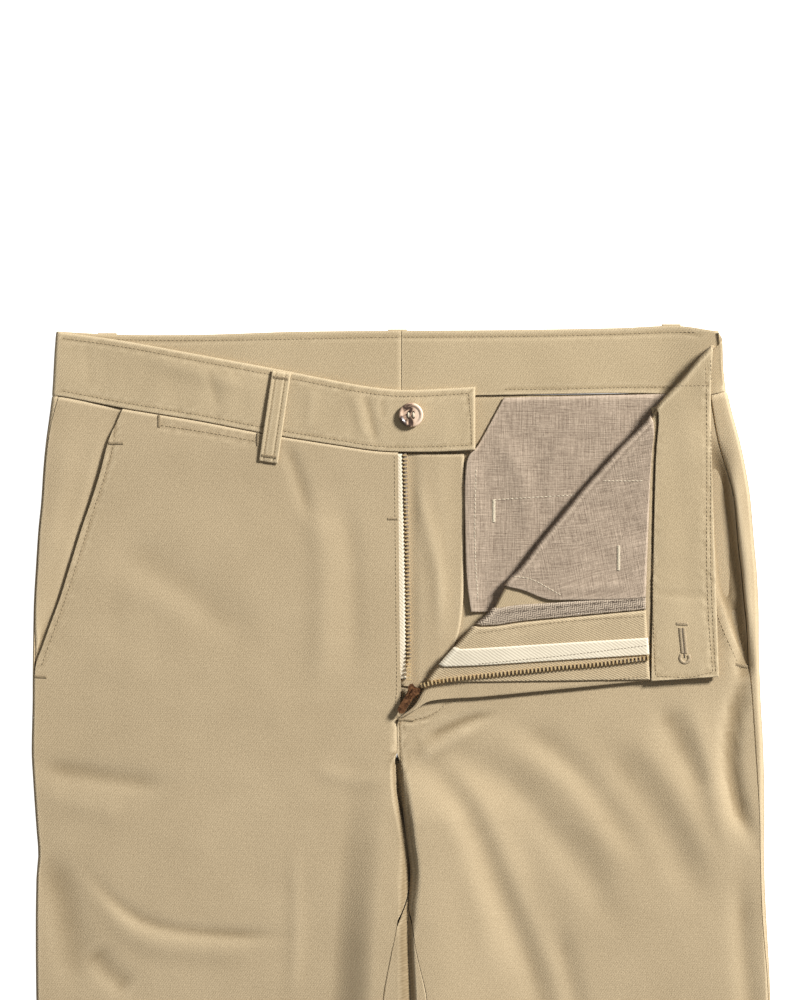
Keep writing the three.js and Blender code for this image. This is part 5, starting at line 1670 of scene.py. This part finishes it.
# Button: a dished disc with four holes, sewn through with thread
BUTTON_PLACE = (6.5, 481.2)
BUTTON_LEVEL = THICKNESS + LOOP_ROOM + SEAM_GAP
BUTTON_MIDDLE = Vector((*BUTTON_PLACE, BUTTON_LEVEL)) * MM
BUTTON_PROFILE = [(6.6, 0), (7.4, 0.25), (7.85, 0.8), (8, 1.4), (7.95, 2.1), (7.7, 2.65), (7.25, 2.95),
                  (6.8, 3), (6.35, 2.9), (5.9, 2.6), (5.5, 2.3), (5.1, 2.2)]
BUTTON_SIDES = 72
HOLE_OFFSET = 1.6
HOLE_RADIUS = 0.9


def button_body():
    work = bmesh.new()
    rings = []
    across_x, across_y = Vector((1, 0, 0)), Vector((0, 1, 0))
    for radius, z in BUTTON_PROFILE:
        centre = BUTTON_MIDDLE + Vector((0, 0, z * MM))
        ring = ring_round(centre, across_x, across_y, radius * MM, radius * MM, BUTTON_SIDES)
        rings.append([work.verts.new(place) for place in ring])
    for a, b in zip(rings, rings[1:]):
        for i in range(BUTTON_SIDES):
            after = (i + 1) % BUTTON_SIDES
            work.faces.new((a[i], a[after], b[after], b[i]))
    work.faces.new(list(reversed(rings[0])))
    work.faces.new(rings[-1])
    bmesh.ops.recalc_face_normals(work, faces=work.faces)
    mesh = bpy.data.meshes.new("button_horn")
    work.to_mesh(mesh)
    work.free()
    obj = add_object("button_horn", mesh)
    drills = bmesh.new()
    for x, y in ((1, 1), (1, -1), (-1, -1), (-1, 1)):
        hole = BUTTON_MIDDLE + Vector((x, y, 0)) * HOLE_OFFSET * MM
        bmesh.ops.create_cone(drills, cap_ends=True, segments=20, radius1=HOLE_RADIUS * MM,
                              radius2=HOLE_RADIUS * MM, depth=0.01, matrix=Matrix.Translation(hole))
    drill_mesh = bpy.data.meshes.new("button_holes")
    drills.to_mesh(drill_mesh)
    drills.free()
    drill = add_object("button_holes", drill_mesh)
    cut = obj.modifiers.new("holes", "BOOLEAN")
    cut.operation, cut.object, cut.solver = "DIFFERENCE", drill, "EXACT"
    bpy.context.view_layer.update()
    made = bpy.data.meshes.new_from_object(obj.evaluated_get(bpy.context.evaluated_depsgraph_get()))
    obj.modifiers.clear()
    obj.data = made
    bpy.data.objects.remove(drill)
    made.transform(Matrix.Translation(-BUTTON_MIDDLE))
    obj.location = BUTTON_MIDDLE
    for polygon in made.polygons:
        polygon.use_smooth = 0.05 < abs(polygon.normal.z) < 0.999
    made.materials.clear()
    made.materials.append(horn)
    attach(obj, "garment")
    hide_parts("button")


button_body()

# Stitching, panel by panel
fronts = Thread("stitching_fronts", khaki_thread)
R, L = "front_right_cloth", "front_left_cloth"
for host, points in ((R, RIGHT_SLANT), (L, LEFT_SLANT), (L, LEFT_SIDE_STITCH), (R, TICKET_LINE), (L, FLY_J),
                     (L, CENTRE_STITCH), (R, FLY_EDGE_STITCH)):
    fronts.run(host, points)
for host, start, end, *width in (
    (R, (-190, 463), (-181, 463)), (R, (-238.4, 311), (-231, 310.6)), (R, (-157.6, 482), (-157.6, 473.6)),
    (R, (-93.2, 470), (-93.2, 461.5)), (R, (-8.4, 413.6), (-2.4, 413.6), 1.6),
    (L, (-1.4, 282.9), (7.6, 282.3), 1.8), (L, (218.4, 318.7), (226.4, 316.9)),
):
    fronts.bartack(host, start, end, *width)
for host, turn in (("back_right_cloth", list), ("back_left_cloth", mirrored)):
    for points in BACK_LINES[1:]:
        fronts.run(host, turn(points), from_below=True)
    for x in (-176, -54):
        fronts.bartack(host, *turn([(x, 406.5), (x, 391.5)]), from_below=True)
fronts.run(R, HEM_STITCH_RIGHT)
fronts.run(L, HEM_STITCH_LEFT)
fronts.build()

band = Thread("stitching_waistband", khaki_thread)
for points in (BAND_TOP_STITCH, BAND_LOW_STITCH, BAND_END_STITCH):
    band.run("waistband_outer_right_cloth", points)
band.run("waistband_facing_right_cloth", [p for p in FACING_TOP_STITCH if p[0] < 0] + [(-1.4, 532.1)])
for points in ([(1.4, 532.1)] + [p for p in FACING_TOP_STITCH if p[0] > 0], FACING_LOW_STITCH,
               *CORNER_BAND_STITCHES):
    band.run("waistband_facing_left_cloth", points)
band.build()

fly = Thread("stitching_fly", khaki_thread)
for points in FACING_STITCHES[:1] + FACING_STITCHES[3:]:
    fly.run("fly_facing_cloth", points)
fly.build()
binding = Thread("stitching_binding", dark_thread_and_painted_shade)
for points in FACING_STITCHES[1:3]:
    binding.run("fly_binding_cloth", points, 2.4, 1.9)
binding.build()
tape_line = Thread("stitching_zip_tape", dark_thread_and_painted_shade, 0.4)
tape_line.run("zip_tape_left_cloth", [(160, 331.4), (103.4, 324.6), (50, 319.4)], 2.2, 1.7)
tape_line.build()

bags = Thread("stitching_pocket_bags", cream_thread)
for host, lines, bar in (
    ("back_pocket_bag_left_cloth",
     ([(48.8, 446), (48.1, 399.9), (50.1, 361)], [(59.8, 425.9), (86, 427.6), (115, 429.2)]),
     ((60.5, 425.9), (60.5, 411.6))),
    ("front_pocket_bag_left_cloth",
     ([(70, 376.4), (83.9, 374.6), (96.9, 368), (104, 364)], [(131, 438.3), (157, 438.3)]),
     ((141.4, 396), (141.4, 380.4))),
):
    for points in lines:
        bags.run(host, points)
    bags.bartack(host, *bar)
bags.build()


def loop_stitches(node, top, foot):
    loops = Thread("stitching_belt_loops", khaki_thread, 0.42)
    length = math.dist(top, foot)
    way = ((foot[0] - top[0]) / length, (foot[1] - top[1]) / length)
    side = (-way[1], way[0])
    for off in (-3.3, 3.3):
        line = [tuple(mix(top[i], foot[i], p) + side[i] * off for i in (0, 1)) for p in (0.03, 0.5, 0.97)]
        loops.run(node + "_cloth", line, 2.4, 1.9)
    for p in (0.07, 0.93):
        middle = mix_point(top, foot, p)
        ends = [tuple(middle[i] + side[i] * s for i in (0, 1)) for s in (-4.6, 4.6)]
        loops.bartack(node + "_cloth", *ends)
    loops.build()


loop_stitches(*BELT_LOOPS[0][:3])


# Keyhole buttonhole: close stitches round a slit and its eyelet, and a bar at its other end
def buttonhole():
    host = "waistband_facing_left_cloth"
    thread = Thread("buttonhole", hole_thread, 0.42)
    slit_top, slit_end, eye, eye_radius = (182.6, 342.6), (184.2, 326.6), (184.5, 323.2), 1.8
    outline = []
    for p in np.linspace(0, 1, 34):
        outline.append((mix_point(slit_top, slit_end, p), (-1, 0)))
    for a in np.linspace(0.8 * math.pi, 2.2 * math.pi, 34):
        way = (math.cos(a), math.sin(a))
        outline.append(((eye[0] + eye_radius * way[0], eye[1] + eye_radius * way[1]), way))
    for p in np.linspace(1, 0, 34):
        outline.append((mix_point(slit_top, slit_end, p), (1, 0)))
    for (x, y), (wx, wy) in outline:
        points = []
        for far, rise in ((0.25, -0.15), (0.6, 0.4), (1.2, 0.45), (1.9, 0.3), (2.3, -0.15)):
            found = level_of(host, x + wx * far, y + wy * far)
            if found:
                points.append((x + wx * far, y + wy * far, found[0].z + rise))
        if len(points) > 2:
            thread.tube(points, 5, 0.46)
    thread.bartack(host, (179.2, 345.6), (186.2, 345.2), 2.4)
    thread.build()
    # A dark tube along the slit: painted shade in the cut opening
    dark = Thread("buttonhole_slit_painted_shade", dark_thread_and_painted_shade, 0.6)
    slit = []
    for p in np.linspace(0, 1, 8):
        x, y = mix_point(slit_top, eye, p)
        slit.append((x, y, level_of(host, x, y)[0].z + 0.06))
    dark.tube(slit, 6, 0.7)
    dark.build()


buttonhole()

# Thread through the button's holes
sewing = Thread("button_thread", cream_thread, 0.5)
for x in (-1, 1):
    for off in (-0.3, 0, 0.3):
        place = BUTTON_PLACE[0] + HOLE_OFFSET * x + off
        low, high = BUTTON_PLACE[1] - HOLE_OFFSET, BUTTON_PLACE[1] + HOLE_OFFSET
        over = [(place, mix(low, high, p), BUTTON_LEVEL + 2.2 + 0.55 * math.sin(math.pi * p))
                for p in (0.08, 0.3, 0.5, 0.7, 0.92)]
        sewing.tube([(place, low, BUTTON_LEVEL + 1.4), *over, (place, high, BUTTON_LEVEL + 1.4)], 6)
sewing.build()


# Floor, light and camera
def floor():
    corners = [(x * 3000, y * 3000, -0.4) for x, y in ((-1, -1), (1, -1), (1, 1), (-1, 1))]
    obj = mesh_object("floor", corners, [(0, 1, 2, 3)], smooth=False)
    material, tree, shader = material_of("pale_floor")
    grain = noise_of(tree, object_place(tree), 90.0)
    tree.links.new(spread_of(tree, grain, to=(0.83, 0.87)), shader.inputs["Base Color"])
    shader.inputs["Roughness"].default_value = 0.9
    shader.inputs["Specular IOR Level"].default_value = 0.1
    ray = node_of(tree, "ShaderNodeLightPath")
    join(tree, shader, {"Emission Strength": ray.outputs["Is Camera Ray"]})
    side = node_of(tree, "ShaderNodeNewGeometry")
    clear = node_of(tree, "ShaderNodeBsdfTransparent")
    seen = node_of(tree, "ShaderNodeMixShader", {0: side.outputs["Backfacing"], 1: shader.outputs[0],
                                                 2: clear.outputs[0]})
    tree.links.new(seen.outputs[0], tree.nodes["Material Output"].inputs[0])
    obj.data.materials.append(material)


def lamp(name, place, target, size, power):
    data = bpy.data.lights.new(name, "AREA")
    data.shape, data.size, data.energy = "DISK", size, power
    obj = add_object(name, data)
    obj.location = place
    obj.rotation_euler = (Vector(target) - Vector(place)).to_track_quat("-Z", "Y").to_euler()


floor()
# Each lamp's place and target in metres, then its size and power
lamp("key_light", (4.18, 3.44, 3.1), (0, 0.4, 0), 1.3, 745)
lamp("fill_light", (-1.6, -0.6, 2.6), (0, 0.2, 0), 2.2, 4)

world = bpy.data.worlds.new("studio")
bpy.context.scene.world = world
world.use_nodes = True
world.node_tree.nodes["Background"].inputs[0].default_value = (1, 0.995, 0.985, 1)
world.node_tree.nodes["Background"].inputs[1].default_value = 0.2
bpy.context.scene.view_settings.view_transform = "Standard"

# Straight above the waist end, as in the photograph
CAMERA_LENS = 121.8
CAMERA_PLACE = (-0.00065, 0.4259, 2.21)
view = bpy.data.cameras.new("camera")
view.lens = CAMERA_LENS
camera = add_object("camera", view)
camera.location = CAMERA_PLACE
bpy.context.scene.camera = camera
